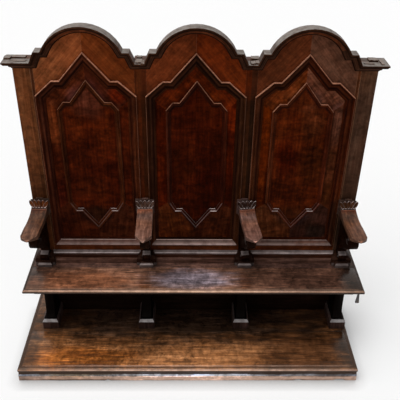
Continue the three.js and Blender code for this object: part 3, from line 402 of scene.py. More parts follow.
# lighter and darker places on a slot's front or top, wear and painted light and shade among them: the axis
# across that face, where the face lies and how far a place reaches through it, then centre and size along it,
# colour to multiply by, share
lightAndTonePatches = {
    "frame_walnut": {"axis": 1, "face": 0.18, "reach": 0.05, "places": [
        ((-0.86, 1.93), (0.17, 0.17), (1.20, 1.30, 1.40), 0.8),
        ((-0.44, 1.95), (0.17, 0.17), (0.78, 0.72, 0.62), 0.8),
        ((0.0, 2.10), (0.07, 0.09), (0.55, 0.55, 0.6), 0.7),
        ((0.22, 1.88), (0.12, 0.08), (1.15, 1.25, 1.30), 0.8),
        ((-0.98, 1.05), (0.14, 0.30), (0.50, 0.52, 0.55), 0.9),
        ((0.98, 1.02), (0.14, 0.30), (0.50, 0.50, 0.50), 0.9),
        ((0.98, 1.95), (0.12, 0.16), (1.70, 1.60, 1.35), 0.9),
        ((0.945, 0.85), (0.06, 0.28), (0.55, 0.62, 0.70), 0.9),
    ]},
    "moulding_walnut": {"axis": 1, "face": 0.18, "reach": 0.05, "places": [
        ((0.90, 0.88), (0.06, 0.30), (0.38, 0.62, 0.95), 0.9),
    ]},
    "panel_walnut": {"axis": 1, "face": 0.205, "reach": 0.012, "places": [
        ((-0.452, 1.768), (0.070, 0.070), (2.6, 1.3, 0.6), 0.9),
        ((-0.63, 1.72), (0.13, 0.14), (1.2, 2.2, 6.0), 0.8),
        ((-0.72, 1.58), (0.10, 0.16), (1.2, 1.35, 1.4), 0.8),
        ((-0.60, 1.46), (0.15, 0.035), (0.68, 0.68, 0.7), 0.7),
        ((-0.56, 1.28), (0.17, 0.075), (0.55, 0.48, 0.5), 0.85),
        ((-0.66, 1.13), (0.17, 0.100), (0.65, 0.75, 0.8), 0.8),
        ((-0.85, 1.10), (0.06, 0.16), (0.6, 0.45, 0.7), 0.9),
        ((-0.63, 0.93), (0.13, 0.10), (0.22, 0.52, 1.2), 0.9),
        ((-0.84, 1.55), (0.06, 0.17), (3.0, 4.0, 3.8), 0.9),
        ((0.06, 1.70), (0.12, 0.12), (1.45, 1.6, 1.4), 0.7),
        ((0.21, 1.62), (0.07, 0.15), (2.6, 2.5, 2.1), 0.9),
        ((-0.24, 1.62), (0.06, 0.08), (0.60, 0.7, 1.2), 0.8),
        ((-0.08, 1.33), (0.12, 0.18), (0.60, 0.68, 0.6), 0.9),
        ((0.08, 1.20), (0.12, 0.09), (0.75, 0.6, 0.6), 0.8),
        ((0.22, 1.10), (0.06, 0.16), (0.6, 0.65, 0.7), 0.9),
        ((0.63, 1.74), (0.14, 0.10), (1.3, 1.6, 2.2), 0.8),
        ((0.70, 1.60), (0.09, 0.15), (1.6, 2.5, 4.2), 0.8),
        ((0.42, 1.58), (0.06, 0.16), (1.65, 1.75, 1.3), 0.8),
        ((0.55, 1.36), (0.10, 0.17), (0.72, 0.46, 0.36), 0.9),
        ((0.72, 1.31), (0.11, 0.22), (0.45, 0.56, 0.60), 0.9),
        ((0.63, 0.93), (0.13, 0.10), (0.65, 1.0, 1.7), 0.9),
        ((0.84, 1.60), (0.06, 0.17), (1.5, 2.1, 3.4), 0.8),
        ((0.84, 1.10), (0.06, 0.14), (0.6, 0.6, 0.4), 0.9),
        ((0.81, 0.79), (0.10, 0.09), (0.5, 0.8, 0.9), 0.9),
    ]},
    "seat_walnut": {"axis": 2, "face": 0.596, "reach": 0.2, "places": [
        ((-0.72, -0.05), (0.42, 0.13), (1.35, 1.0, 0.72), 0.8),
        # painted reflection: a grey-blue sheen across the seat's middle
        ((-0.02, -0.04), (0.36, 0.12), (1.48, 2.50, 4.7), 0.9),
        ((0.72, -0.03), (0.46, 0.22), (0.42, 0.38, 0.40), 0.8),
        ((-1.02, -0.02), (0.12, 0.3), (0.55, 0.55, 0.58), 0.8),
        ((-0.08, -0.12), (0.40, 0.05), (1.7, 1.6, 1.45), 0.9),
        # painted shadows of the consoles across that sheen
        ((-0.315, -0.07), (0.055, 0.14), (0.62, 0.48, 0.34), 0.9),
        ((0.325, -0.07), (0.050, 0.12), (0.60, 0.50, 0.42), 0.9),
        ((1.05, -0.02), (0.12, 0.3), (0.22, 0.22, 0.22), 0.95),
    ]},
    "platform_walnut": {"axis": 2, "face": 0.12, "reach": 0.2, "places": [
        # painted shadow of the seat on the platform's back
        ((-0.1, 0.10), (1.6, 0.30), (0.29, 0.38, 0.62), 1.0),
        ((-0.72, -0.27), (0.46, 0.13), (1.30, 0.95, 0.45), 0.8),
        ((-0.12, -0.30), (0.44, 0.08), (1.85, 1.95, 2.1), 0.8),
        ((0.78, -0.24), (0.56, 0.36), (0.26, 0.25, 0.27), 0.95),
        ((-1.09, -0.22), (0.09, 0.30), (0.28, 0.30, 0.36), 0.95),
        ((1.06, -0.15), (0.12, 0.40), (0.22, 0.22, 0.24), 0.95),
    ]},
}


def patchesOf(slot):
    look = lightAndTonePatches.get(slot, {"places": []})
    for centre, size, factor, share in look["places"]:
        place, reach = list(centre), list(size)
        place.insert(look["axis"], look["face"])
        reach.insert(look["axis"], look["reach"])
        yield place, reach, factor, share


finishLook = {
    "stops": {"dark": 0.12, "mid": 0.5, "light": 0.90},  # where the figure takes each colour
    "darkMarkTone": 0.3, "dulling": 0.35, "sheenRange": (0.2, 0.8), "grainHeight": 0.0008,
}


def makeWalnut(slot):
    look = walnutLooks[slot]
    material = bpy.data.materials.new(slot)
    tree = newTree(material)
    grain = put(tree, "ShaderNodeAttribute", attribute_name="grain").outputs["Vector"]
    tint = put(tree, "ShaderNodeAttribute", attribute_name="tint").outputs["Color"]
    wear = put(tree, "ShaderNodeAttribute", attribute_name="wear").outputs["Color"]
    wornAndGleamMark, grimeAndShadeMark, warm = put(tree, "ShaderNodeSeparateColor", {0: wear}).outputs
    place = put(tree, "ShaderNodeTexCoord").outputs["Object"]
    figure = useGroup(tree, figureGroup, {"Grain": grain})
    ramp = put(tree, "ShaderNodeValToRGB", {0: figure["Figure"]})
    stops = ramp.color_ramp.elements
    for i, tone in enumerate(("dark", "light")):
        stops[i].position = finishLook["stops"][tone]
        stops[i].color = (*look[tone], 1)
    stops.new(finishLook["stops"]["mid"]).color = (*look["mid"], 1)  # last, because it moves the others on
    colour = mixColour(tree, 1.0, ramp.outputs["Color"], tint, "MULTIPLY")

    mottle = useGroup(tree, mottleGroup, {"Place": place})
    age = between(tree, mottle["Mottle"], *look["age"])
    curl = between(tree, figure["Curl"], *look["curl"])
    colour = scaled(tree, colour, product(tree, age, curl))
    for centre, size, factor, share in patchesOf(slot):
        patch = useGroup(tree, patchGroup, {"Place": place, "Centre": centre, "Size": size})
        covered = product(tree, patch["Mask"], share)
        colour = mixColour(tree, covered, colour, multiplied(tree, colour, factor))
    if "scuffs" in look:
        scuffs = useGroup(tree, scuffGroup, {"Grain": grain})
        light = between(tree, scuffs["Light"], 1.0, look["scuffs"][0])
        dark = between(tree, scuffs["Dark"], 1.0, look["scuffs"][1])
        colour = scaled(tree, colour, product(tree, light, dark))

    # the light colour of rubbed edges, also used for painted highlights
    wornAndGleamColour = (*look["wornAndGleam"], 1)
    if "wornAndGleamWarm" in look:
        wornAndGleamColour = mixColour(tree, warm, wornAndGleamColour, (*look["wornAndGleamWarm"], 1))
    # lightened where edges are rubbed bare and where highlights are painted
    edges = useGroup(tree, wornAndGleamGroup, {"Edge": wornAndGleamMark, "Place": place, "Amount": look["wear"]})
    colour = mixColour(tree, edges["Mask"], colour, wornAndGleamColour)
    # darkened by grime and by painted shade
    colour = mixColour(tree, grimeAndShadeMark, colour, (*(finishLook["darkMarkTone"] * part for part in look["dark"]), 1))
    dull = grimeAndShadeMark
    if "dust" in look:
        slope, amount = look["dust"]
        dust = useGroup(tree, dustGroup, {"Place": place, "Slope": slope, "Amount": amount})
        colour = mixColour(tree, dust["Mask"], colour, (*dustLook["colour"], 1))
        dull = total(tree, dust["Mask"], grimeAndShadeMark)

    polished, dry = look["rough"]
    sheen = ranged(tree, figure["Figure"], *finishLook["sheenRange"], dry, polished, "LINEAR")
    rough = total(tree, sheen, product(tree, dull, finishLook["dulling"]), clamp=True)
    bump = put(tree, "ShaderNodeBump", {
        "Height": figure["Fibre"], "Strength": look["grainDepth"], "Distance": finishLook["grainHeight"]})
    shader = put(tree, "ShaderNodeBsdfPrincipled", {
        "Base Color": colour, "Roughness": rough, "Normal": bump.outputs[0],
        "Specular IOR Level": look["specular"], "Specular Tint": (*look["specularTint"], 1)})
    put(tree, "ShaderNodeOutputMaterial", {"Surface": shader.outputs[0]})
    return material


ironLook = {
    "pits": (160.0, 5.0), "pitRange": (0.3, 0.7), "rough": (0.42, 0.68), "pitDepth": 0.5, "pitHeight": 0.0006,
    "bevel": 0.0007,
    "rust": (45.0, 4.0), "rustRange": (0.45, 0.65), "metal": (0.85, 0.15),
    "clean": (0.07, 0.07, 0.074, 1), "rusty": (0.055, 0.036, 0.026, 1),
}


def makeIron():
    look = ironLook
    material = bpy.data.materials.new("iron")
    tree = newTree(material)
    place = put(tree, "ShaderNodeTexCoord").outputs["Object"]
    pits = evenNoise(tree, place, *look["pits"])
    rust = ranged(tree, evenNoise(tree, place, *look["rust"]), *look["rustRange"])
    rough = ranged(tree, pits, *look["pitRange"], *look["rough"], "LINEAR")
    bump = put(tree, "ShaderNodeBump", {
        "Height": pits, "Strength": look["pitDepth"], "Distance": look["pitHeight"]})
    shader = put(tree, "ShaderNodeBsdfPrincipled", {
        "Base Color": mixColour(tree, rust, look["clean"], look["rusty"]),
        "Metallic": between(tree, rust, *look["metal"]), "Roughness": rough, "Normal": bump.outputs[0]})
    put(tree, "ShaderNodeOutputMaterial", {"Surface": shader.outputs[0]})
    return material


finishes = {slot: makeWalnut(slot) for slot in walnutLooks}
finishes["iron"] = makeIron()
print("finishes made:", len(finishes))

# Modelling helpers


def clamped(value):
    return max(0.0, min(1.0, value))


def middleOf(nodeName):
    low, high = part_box(nodeName)
    return (low.x + high.x) / 2


def moved(outline, aside):
    return [(aside + x, z) for x, z in outline]


def mirrored(outline):
    return [(-x, z) for x, z in outline]


def scaleTint(tint, share):
    return tuple(part * share for part in tint)


def noMarks(face, edge):
    return (0.0, 0.0)


def pick(*pieces):
    bpy.ops.object.select_all(action="DESELECT")
    for piece in pieces:
        piece.select_set(True)
    bpy.context.view_layer.objects.active = pieces[0]


def inEditMode(piece, *steps):
    pick(piece)
    bpy.ops.object.mode_set(mode="EDIT")
    bpy.ops.mesh.select_all(action="SELECT")
    for step in steps:
        step()
    bpy.ops.object.mode_set(mode="OBJECT")


def addShape(name, make, **settings):
    bpy.ops.object.select_all(action="DESELECT")
    make(**settings)
    bpy.context.object.name = name
    return bpy.context.object


def addRing(name, outline, front):
    # one upright face that looks to the front
    piece = addShape(name, bpy.ops.mesh.primitive_circle_add, vertices=len(outline), fill_type="NGON")
    for vertex, (x, z) in zip(piece.data.vertices, outline):
        vertex.co = (x, front, z)
    if piece.data.polygons[0].normal.y > 0:
        piece.data.flip_normals()
    return piece


def pickRims():
    bpy.ops.mesh.select_mode(type="EDGE")
    bpy.ops.mesh.select_all(action="DESELECT")
    bpy.ops.mesh.select_non_manifold()


def faceOutwards():
    bpy.ops.mesh.select_mode(type="FACE")
    bpy.ops.mesh.select_all(action="SELECT")
    bpy.ops.mesh.normals_make_consistent(inside=False)


def openMiddle():
    bpy.ops.mesh.delete(type="FACE")
    pickRims()
    bpy.ops.mesh.bridge_edge_loops()
    faceOutwards()


def closeBack():
    pickRims()
    bpy.ops.mesh.edge_face_add()
    faceOutwards()


def carve(piece, section, lastStep):
    # steps a face in along a section in millimetres: across, then out
    moves = [((b[0] - a[0]) / 1000, (b[1] - a[1]) / 1000) for a, b in zip([(0, 0)] + section, section)]

    def stepIn(across, out):
        bpy.ops.mesh.inset(thickness=across, depth=out, use_even_offset=True)

    inEditMode(piece, *(lambda move=move: stepIn(*move) for move in moves), lastStep)


def ringDepth(corners, x, z):
    # how far a point lies inside an outline
    nearest = 1.0
    for (ax, az), (bx, bz) in zip(corners, corners[1:] + corners[:1]):
        side = Vector((bx - ax, bz - az))
        share = clamped(Vector((x - ax, z - az)).dot(side) / side.length_squared)
        nearest = min(nearest, math.hypot(x - ax - side.x * share, z - az - side.y * share))
    return nearest


def copyNode(nodeName):
    piece = bpy.data.objects.new(nodeName + "_dressed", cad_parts[nodeName].data.copy())
    piece.data.materials.clear()
    bpy.context.collection.objects.link(piece)
    inEditMode(
        piece,
        lambda: bpy.ops.mesh.remove_doubles(threshold=1e-5),
        lambda: bpy.ops.mesh.dissolve_limited(angle_limit=math.radians(1)),
    )
    bpy.ops.mesh.customdata_custom_splitnormals_clear()
    return piece


def sliceAlong(piece, axis, step):
    # rows of edges across a board, so that it can be worn unevenly
    low, high = (min(c[axis] for c in piece.bound_box), max(c[axis] for c in piece.bound_box))
    count = int((high - low) / step)
    normal = [0, 0, 0]
    normal[axis] = 1

    def cutOnce(place):
        point = [0, 0, 0]
        point[axis] = place
        bpy.ops.mesh.select_all(action="SELECT")
        bpy.ops.mesh.bisect(plane_co=point, plane_no=normal)

    cuts = [low + (high - low) * (i + 0.5) / count for i in range(count)]
    inEditMode(piece, *(lambda place=place: cutOnce(place) for place in cuts))


def softenEdges(piece, width, segments=2, angle=32):
    # rounds the arrises and marks the new faces with the second material slot
    bevel = piece.modifiers.new("rubbedArris", "BEVEL")
    bevel.width = width
    bevel.segments = segments
    bevel.limit_method = "ANGLE"
    bevel.angle_limit = math.radians(angle)
    bevel.use_clamp_overlap = True
    bevel.material = 1
    pick(piece)
    bpy.ops.object.modifier_apply(modifier=bevel.name)


def roughen(piece, amount, scale, seed, chosen=lambda co: True):
    drift = Vector([seed * part for part in surfaceLook["drift"]])
    for vertex in piece.data.vertices:
        if chosen(vertex.co):
            vertex.co += noise.noise_vector(vertex.co * scale + drift) * amount


axisVectors = {"x": Vector((1, 0, 0)), "y": Vector((0, 1, 0)), "z": Vector((0, 0, 1))}
surfaceLook = {
    "shifts": ((-4, 4), (0.06, 0.2), (0.06, 0.25)),  # where a piece lies in its log: along, across, deep
    "level": 0.01, "nearY": 0.9, "rearSlope": 0.7,
    "smoothAngle": 38, "waveScale": 9.0, "drift": (3.7, 1.9, 5.3),  # the drift sets each piece's waves apart
}
# first seed of what isn't a plain copy of a node
seeds = {"moulding": 40, "arm": 60, "collar": 70, "band": 80, "scrolls": 90, "field": 100, "packing": 140}


def runOf(mesh, face):
    # direction of the longest edge, as on a moulding's faces
    spots = [mesh.vertices[i].co for i in face.vertices]
    longest = max((spots[i] - spots[i - 1] for i in range(len(spots))), key=lambda edge: edge.length)
    ahead = longest.normalized()
    level = surfaceLook["level"]
    return -ahead if ahead.x < -level or (abs(ahead.x) <= level and ahead.z < 0) else ahead


def grainAlong(mesh, face, along):
    if along == "run":
        return runOf(mesh, face)
    return axisVectors[along] if isinstance(along, str) else along


def layGrain(piece, along, seed, tint=(1, 1, 1), wearOf=None, backTint=None, mirrorAt=None):
    # a mark says how light a face is made, by bare wood and painted highlight, how dark, by grime and painted
    # shade, and, if given, how warm the light colour is
    mesh = piece.data
    draw = random.Random(seed)
    shift = Vector([draw.uniform(*limits) for limits in surfaceLook["shifts"]])
    grain, tints, markValues = [], [], []
    frames = {}
    for face in mesh.polygons:
        ahead = grainAlong(mesh, face, along)
        key = tuple(round(part, 2) for part in ahead)
        if key not in frames:
            reference = axisVectors["y" if abs(ahead.y) < surfaceLook["nearY"] else "x"]
            across = ahead.cross(reference).normalized()
            frames[key] = (ahead.normalized(), across, ahead.cross(across).normalized())
        for i in face.vertices:
            co = mesh.vertices[i].co
            if mirrorAt is not None:
                co = Vector((2 * mirrorAt - co.x, co.y, co.z))
            grain.extend(co.dot(axis) + shift[n] for n, axis in enumerate(frames[key]))
        if backTint is not None and face.normal.y > surfaceLook["rearSlope"]:
            shade = backTint
        else:
            shade = tint(face) if callable(tint) else tint
        tints.extend((*shade, 1))
        edge = 1.0 if face.material_index == 1 else 0.0
        mark = wearOf(face, edge) if wearOf else (edge, 0.0)
        markValues.extend((*mark, *[0.0] * (3 - len(mark)), 1))
        face.material_index = 0
    mesh.attributes.new("grain", "FLOAT_VECTOR", "CORNER").data.foreach_set("vector", grain)
    mesh.attributes.new("tint", "FLOAT_COLOR", "FACE").data.foreach_set("color", tints)
    mesh.attributes.new("wear", "FLOAT_COLOR", "FACE").data.foreach_set("color", markValues)


def finishPiece(piece, slot, body="stall", node=None):
    while len(piece.data.materials) > 1:
        piece.data.materials.pop()
    pick(piece)
    bpy.ops.object.shade_smooth_by_angle(angle=math.radians(surfaceLook["smoothAngle"]))
    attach(piece, body)
    if node:
        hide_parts(node)


def giveFinish(piece, slot):
    piece.data.materials.append(finishes[slot])
    piece.data.materials.append(finishes[slot])  # for the rounded edges, until they are marked


def settle(piece, slot, along, seed, tint=(1, 1, 1), node=None, **marks):
    layGrain(piece, along, seed, tint, **marks)
    finishPiece(piece, slot, node=node)


pieceCount = 0


def dress(nodeName, slot, along, bevel=0.0018, tint=(1, 1, 1), slices=None, rows=None, wave=0.0, **marks):
    global pieceCount
    pieceCount += 1
    piece = copyNode(nodeName)
    giveFinish(piece, slot)
    for cuts in (slices, rows):
        if cuts:
            sliceAlong(piece, *cuts)
    softenEdges(piece, bevel)
    if wave:
        roughen(piece, wave, surfaceLook["waveScale"], pieceCount)
    settle(piece, slot, along, pieceCount, tint, nodeName, **marks)
    return piece


# Platform

platformLook = {
    "frontTint": (1.0, 1.0, 1.0),
    # the rear board lies under the seat: painted shade
    "rearTint": (0.55, 0.54, 0.54),
    "coveSheenTint": (2.3, 6.0, 19.0),  # painted reflection: the grey-blue stands in for light the cove reflects
    "bandTint": (4.5, 7.2, 15.2),
    "sunkLine": 0.030, "sunkDark": 0.6,  # from the edge, then how dark
    "fasciaBand": 0.040,
    "bandLight": (0.011, 0.033),  # between these heights the bare band is brightest
    "coveShade": 0.0515,  # painted shadow: black above this, under the boards
    "chips": [(-0.559, 0.034, 0.013), (0.690, 0.040, 0.011), (0.955, 0.050, 0.013)],  # place, width, height
    "slice": 0.09, "wave": 0.0007, "boardBevel": 0.0012,
    "fasciaBevel": 0.0015, "fasciaSlice": 0.02, "fasciaRow": 0.006, "fasciaWave": 0.0016,
    "bandEdge": 0.001, "frontSlope": -0.5, "coveDark": 0.96, "footShare": 0.8,
    "soil": (1.1, 0.8, 1.6), "soilScale": 4.0, "soilDrift": 7.3,  # most, less in the light, unevenness
    "chipTop": 0.015, "chipDepth": 0.012,  # how high and deep the foot that breaks away is
    "lit": (0.02, 0.64),  # slopes of the rounded edge that are rubbed bare, with a painted highlight
    "edgeLight": [(-1.13, 0.25), (-0.8, 0.62), (-0.2, 1.15), (0.7, 0.70), (1.06, 0.45)],  # along the board
    "fasciaLight": [(-1.13, 0.28), (-0.8, 0.50), (-0.2, 1.18), (0.7, 0.92), (1.06, 0.65)],
}


def valueAt(x, stops):
    for (start, first), (end, second) in zip(stops, stops[1:]):
        if x < end:
            return first + (second - first) * max(0.0, (x - start) / (end - start))
    return stops[-1][1]


# wear, painted highlight and painted shade on a board's front edge
edgeLook = {
    "lineHalf": 0.004, "flat": 0.9, "arris": 0.5,  # sunk line: half its width, slope and light of its arris
    "nosing": 0.52, "behindNosing": 0.85, "atEnds": 1.0,  # rounded share of the way in, then how dark; the dark down the ends is painted shade
    # painted shade under the rounded edge
    "steep": 0.5, "under": 0.95, "over": 0.4,
}


def edgeZone(box, look, hasFront=True):
    # bare wood with a painted highlight on the rounded front edge and its arris, dark in the sunk line,
    # painted shade under the rounded edge and down the ends
    low, high = box
    sunk, lit = look["sunkLine"], look["lit"]

    def marks(face, edge):
        centre, slope = face.center, face.normal.z
        fromEnd = min(centre.x - low.x, high.x - centre.x)
        fromFront = centre.y - low.y if hasFront else 1.0
        inset = min(fromEnd, fromFront)
        onFront = fromFront <= fromEnd
        share = valueAt(centre.x, look["edgeLight"])
        if inset > sunk + edgeLook["lineHalf"]:
            return (0.0, 0.0)
        if inset > sunk - edgeLook["lineHalf"]:
            isArris = onFront and (edge or slope > edgeLook["flat"])
            return (edgeLook["arris"] * share, 0.0) if isArris else (0.0, look["sunkDark"])
        if inset > edgeLook["nosing"] * sunk or not onFront:
            return (0.0, edgeLook["behindNosing" if onFront else "atEnds"])
        if lit[0] < slope < lit[1]:
            return (share, 0.0)
        return (0.0, edgeLook["under" if slope < edgeLook["steep"] else "over"])

    return marks


def dressBoards(names, slot, look):
    for name, tint in zip(names, (look["frontTint"], look["rearTint"])):
        dress(name, slot, "x", look["boardBevel"], tint, slices=(0, look["slice"]), wave=look["wave"],
              wearOf=edgeZone(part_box(name), look, "front" in name))


def fasciaTint(face):
    tint = platformLook["coveSheenTint" if face.center.z > platformLook["fasciaBand"] else "bandTint"]
    return scaleTint(tint, min(1.0, valueAt(face.center.x, platformLook["fasciaLight"])))


def fasciaMarks(face, edge):
    look = platformLook
    x, z = face.center.x, face.center.z
    low, high = look["bandLight"]
    light = valueAt(x, look["fasciaLight"])
    most, less, uneven = look["soil"]
    stain = noise.noise(Vector((x * look["soilScale"], 0, look["soilDrift"])))
    soiled = clamped(most - less * light + uneven * stain)
    # painted shadow on the cove under the boards
    if z > look["fasciaBand"] - look["bandEdge"] or face.normal.y > look["frontSlope"]:
        return (0.0, look["coveDark"] if z > look["coveShade"] else 0.0)
    if z < low:
        return (look["footShare"] * light * (1 - soiled), look["footShare"] * soiled)
    return (light if z < high else 0.0, 0.0)


def buildPlatform():
    look = platformLook
    dressBoards(("platform_front_board", "platform_rear_board"), "platform_walnut", look)
    fascia = dress("platform_fascia", "platform_walnut", "x", look["fasciaBevel"], fasciaTint,
                   slices=(0, look["fasciaSlice"]), rows=(2, look["fasciaRow"]), wave=look["fasciaWave"],
                   wearOf=fasciaMarks)
    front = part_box("platform_fascia")[0].y
    for vertex in fascia.data.vertices:
        broken = [high for x, wide, high in look["chips"] if abs(vertex.co.x - x) < wide / 2]
        onFoot = vertex.co.z < look["chipTop"] and vertex.co.y < front + look["chipDepth"]
        vertex.co.z = max(vertex.co.z, broken[0] if broken and onFoot else 0.0)
    for name in ("platform_left_rail", "platform_right_rail", "platform_joist"):
        dress(name, "shadow_walnut", "y")
    dress("platform_rear_rail", "shadow_walnut", "x")


buildPlatform()
print("platform dressed")

# Seat and what carries it

seatLook = {
    "sunkLine": 0.022, "sunkDark": 0.95, "slice": 0.08, "wave": 0.0006, "lit": (0.38, 1.01),
    "edgeLight": [(-1.08, 0.35), (-0.75, 0.50), (-0.2, 1.02), (0.3, 0.8), (0.7, 0.42), (1.08, 0.35)],
    # the apron and the board under the seat are darkened: painted shade
    "frontTint": (1, 1, 1), "rearTint": (0.60, 0.61, 0.72), "underSeatShade": (0.5, 0.5, 0.5), "boardBevel": 0.001,
}
standardLook = {
    # the body under the seat is near-black: painted shade
    "plinthTop": 0.201, "bodyShade": (0.09, 0.09, 0.09), "plinthTint": (1.9, 2.2, 2.9), "bevel": 0.002,
    # the plinth's chamfer: how far it reaches up, its slopes, its painted highlight in front and at the sides
    "chamferEdge": 0.001, "chamferSlopes": (0.2, 0.95), "frontSlope": -0.3,
    "frontLight": 1.0, "sideLight": 0.06,
}


def standardTint(face):
    return standardLook["plinthTint" if face.center.z < standardLook["plinthTop"] else "bodyShade"]


def standardMarks(face, edge):
    look = standardLook
    least, most = look["chamferSlopes"]
    if face.center.z >= look["plinthTop"] + look["chamferEdge"] or not least < face.normal.z < most:
        return (0.0, 0.0)
    return (look["frontLight" if face.normal.y < look["frontSlope"] else "sideLight"], 0.0)


def buildSeat():
    dressBoards(("seat_front_plank", "seat_rear_plank"), "seat_walnut", seatLook)
    for name in ("seat_apron", "lower_back_board"):
        dress(name, "shadow_walnut", "x", tint=seatLook["underSeatShade"], wearOf=noMarks)
    for side in sideNames:
        dress(side + "_standard", "shadow_walnut", "z", standardLook["bevel"], standardTint,
              wearOf=standardMarks)


buildSeat()
print("seat dressed")

# Back: uprights, heads, panels and mouldings

rawBack = (1.0, 1.3, 1.8)  # the unpolished rear of the boards
boardTints = {
    "left_post": (0.95, 1.05, 1.1), "right_post": (0.40, 0.66, 1.22),
    "left_stile": (0.46, 0.48, 0.58), "right_stile": (0.42, 0.44, 0.54), "bottom_rail": (0.66, 0.56, 0.52),
    "left_bay_head_left": (1.42, 1.36, 1.28), "left_bay_head_right": (0.88, 0.66, 0.45),
    "middle_bay_head_left": (0.86, 0.60, 0.50), "middle_bay_head_right": (0.86, 0.43, 0.19),
    "right_bay_head_left": (0.62, 0.50, 0.50), "right_bay_head_right": (0.72, 1.00, 1.75),
}
uprightLook = {
    "innerEdge": 0.0245,  # a darker strip beside the stile
    "innerShade": {"left_post": 0.68, "right_post": 0.95},
    # left and right halves of the mullions, which take the heads' colours between two heights
    "halves": {"left_mullion": ((0.35, 0.21, 0.11), (0.23, 0.185, 0.115)),
               "right_mullion": ((0.20, 0.20, 0.19), (0.085, 0.095, 0.10))},
    "heads": {"left_mullion": ("left_bay_head_right", "middle_bay_head_left"),
              "right_mullion": ("middle_bay_head_right", "right_bay_head_left")},
    "headStart": 1.72, "headFull": 1.84, "headShade": 0.62,
    # rows of edges up and across, and the width of the rounded arris
    "cuts": {"post": ((2, 0.12), (0, 0.045)), "stile": ((2, 0.12), None), "mullion": ((2, 0.03), (0, 0.060))},
    "bevels": {"post": 0.0018, "stile": 0.0018, "mullion": 0.0012, "rail": 0.0015, "head": 0.0012},
    "wave": 0.0005, "headGrain": (0.65, 0.76),
}


def postTint(name):
    low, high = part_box(name)

    def tint(face):
        inward = high.x - face.center.x if name.startswith("left") else face.center.x - low.x
        shade = uprightLook["innerShade"][name] if inward < uprightLook["innerEdge"] else 1.0
        return scaleTint(boardTints[name], shade)

    return tint


def mullionTint(name):
    middle = middleOf(name)

    def tint(face):
        start, full = uprightLook["headStart"], uprightLook["headFull"]
        share = clamped((face.center.z - start) / (full - start))
        onRight = face.center.x > middle
        head = Vector(boardTints[uprightLook["heads"][name][onRight]]) * uprightLook["headShade"]
        return tuple(Vector(uprightLook["halves"][name][onRight]).lerp(head, share))

    return tint


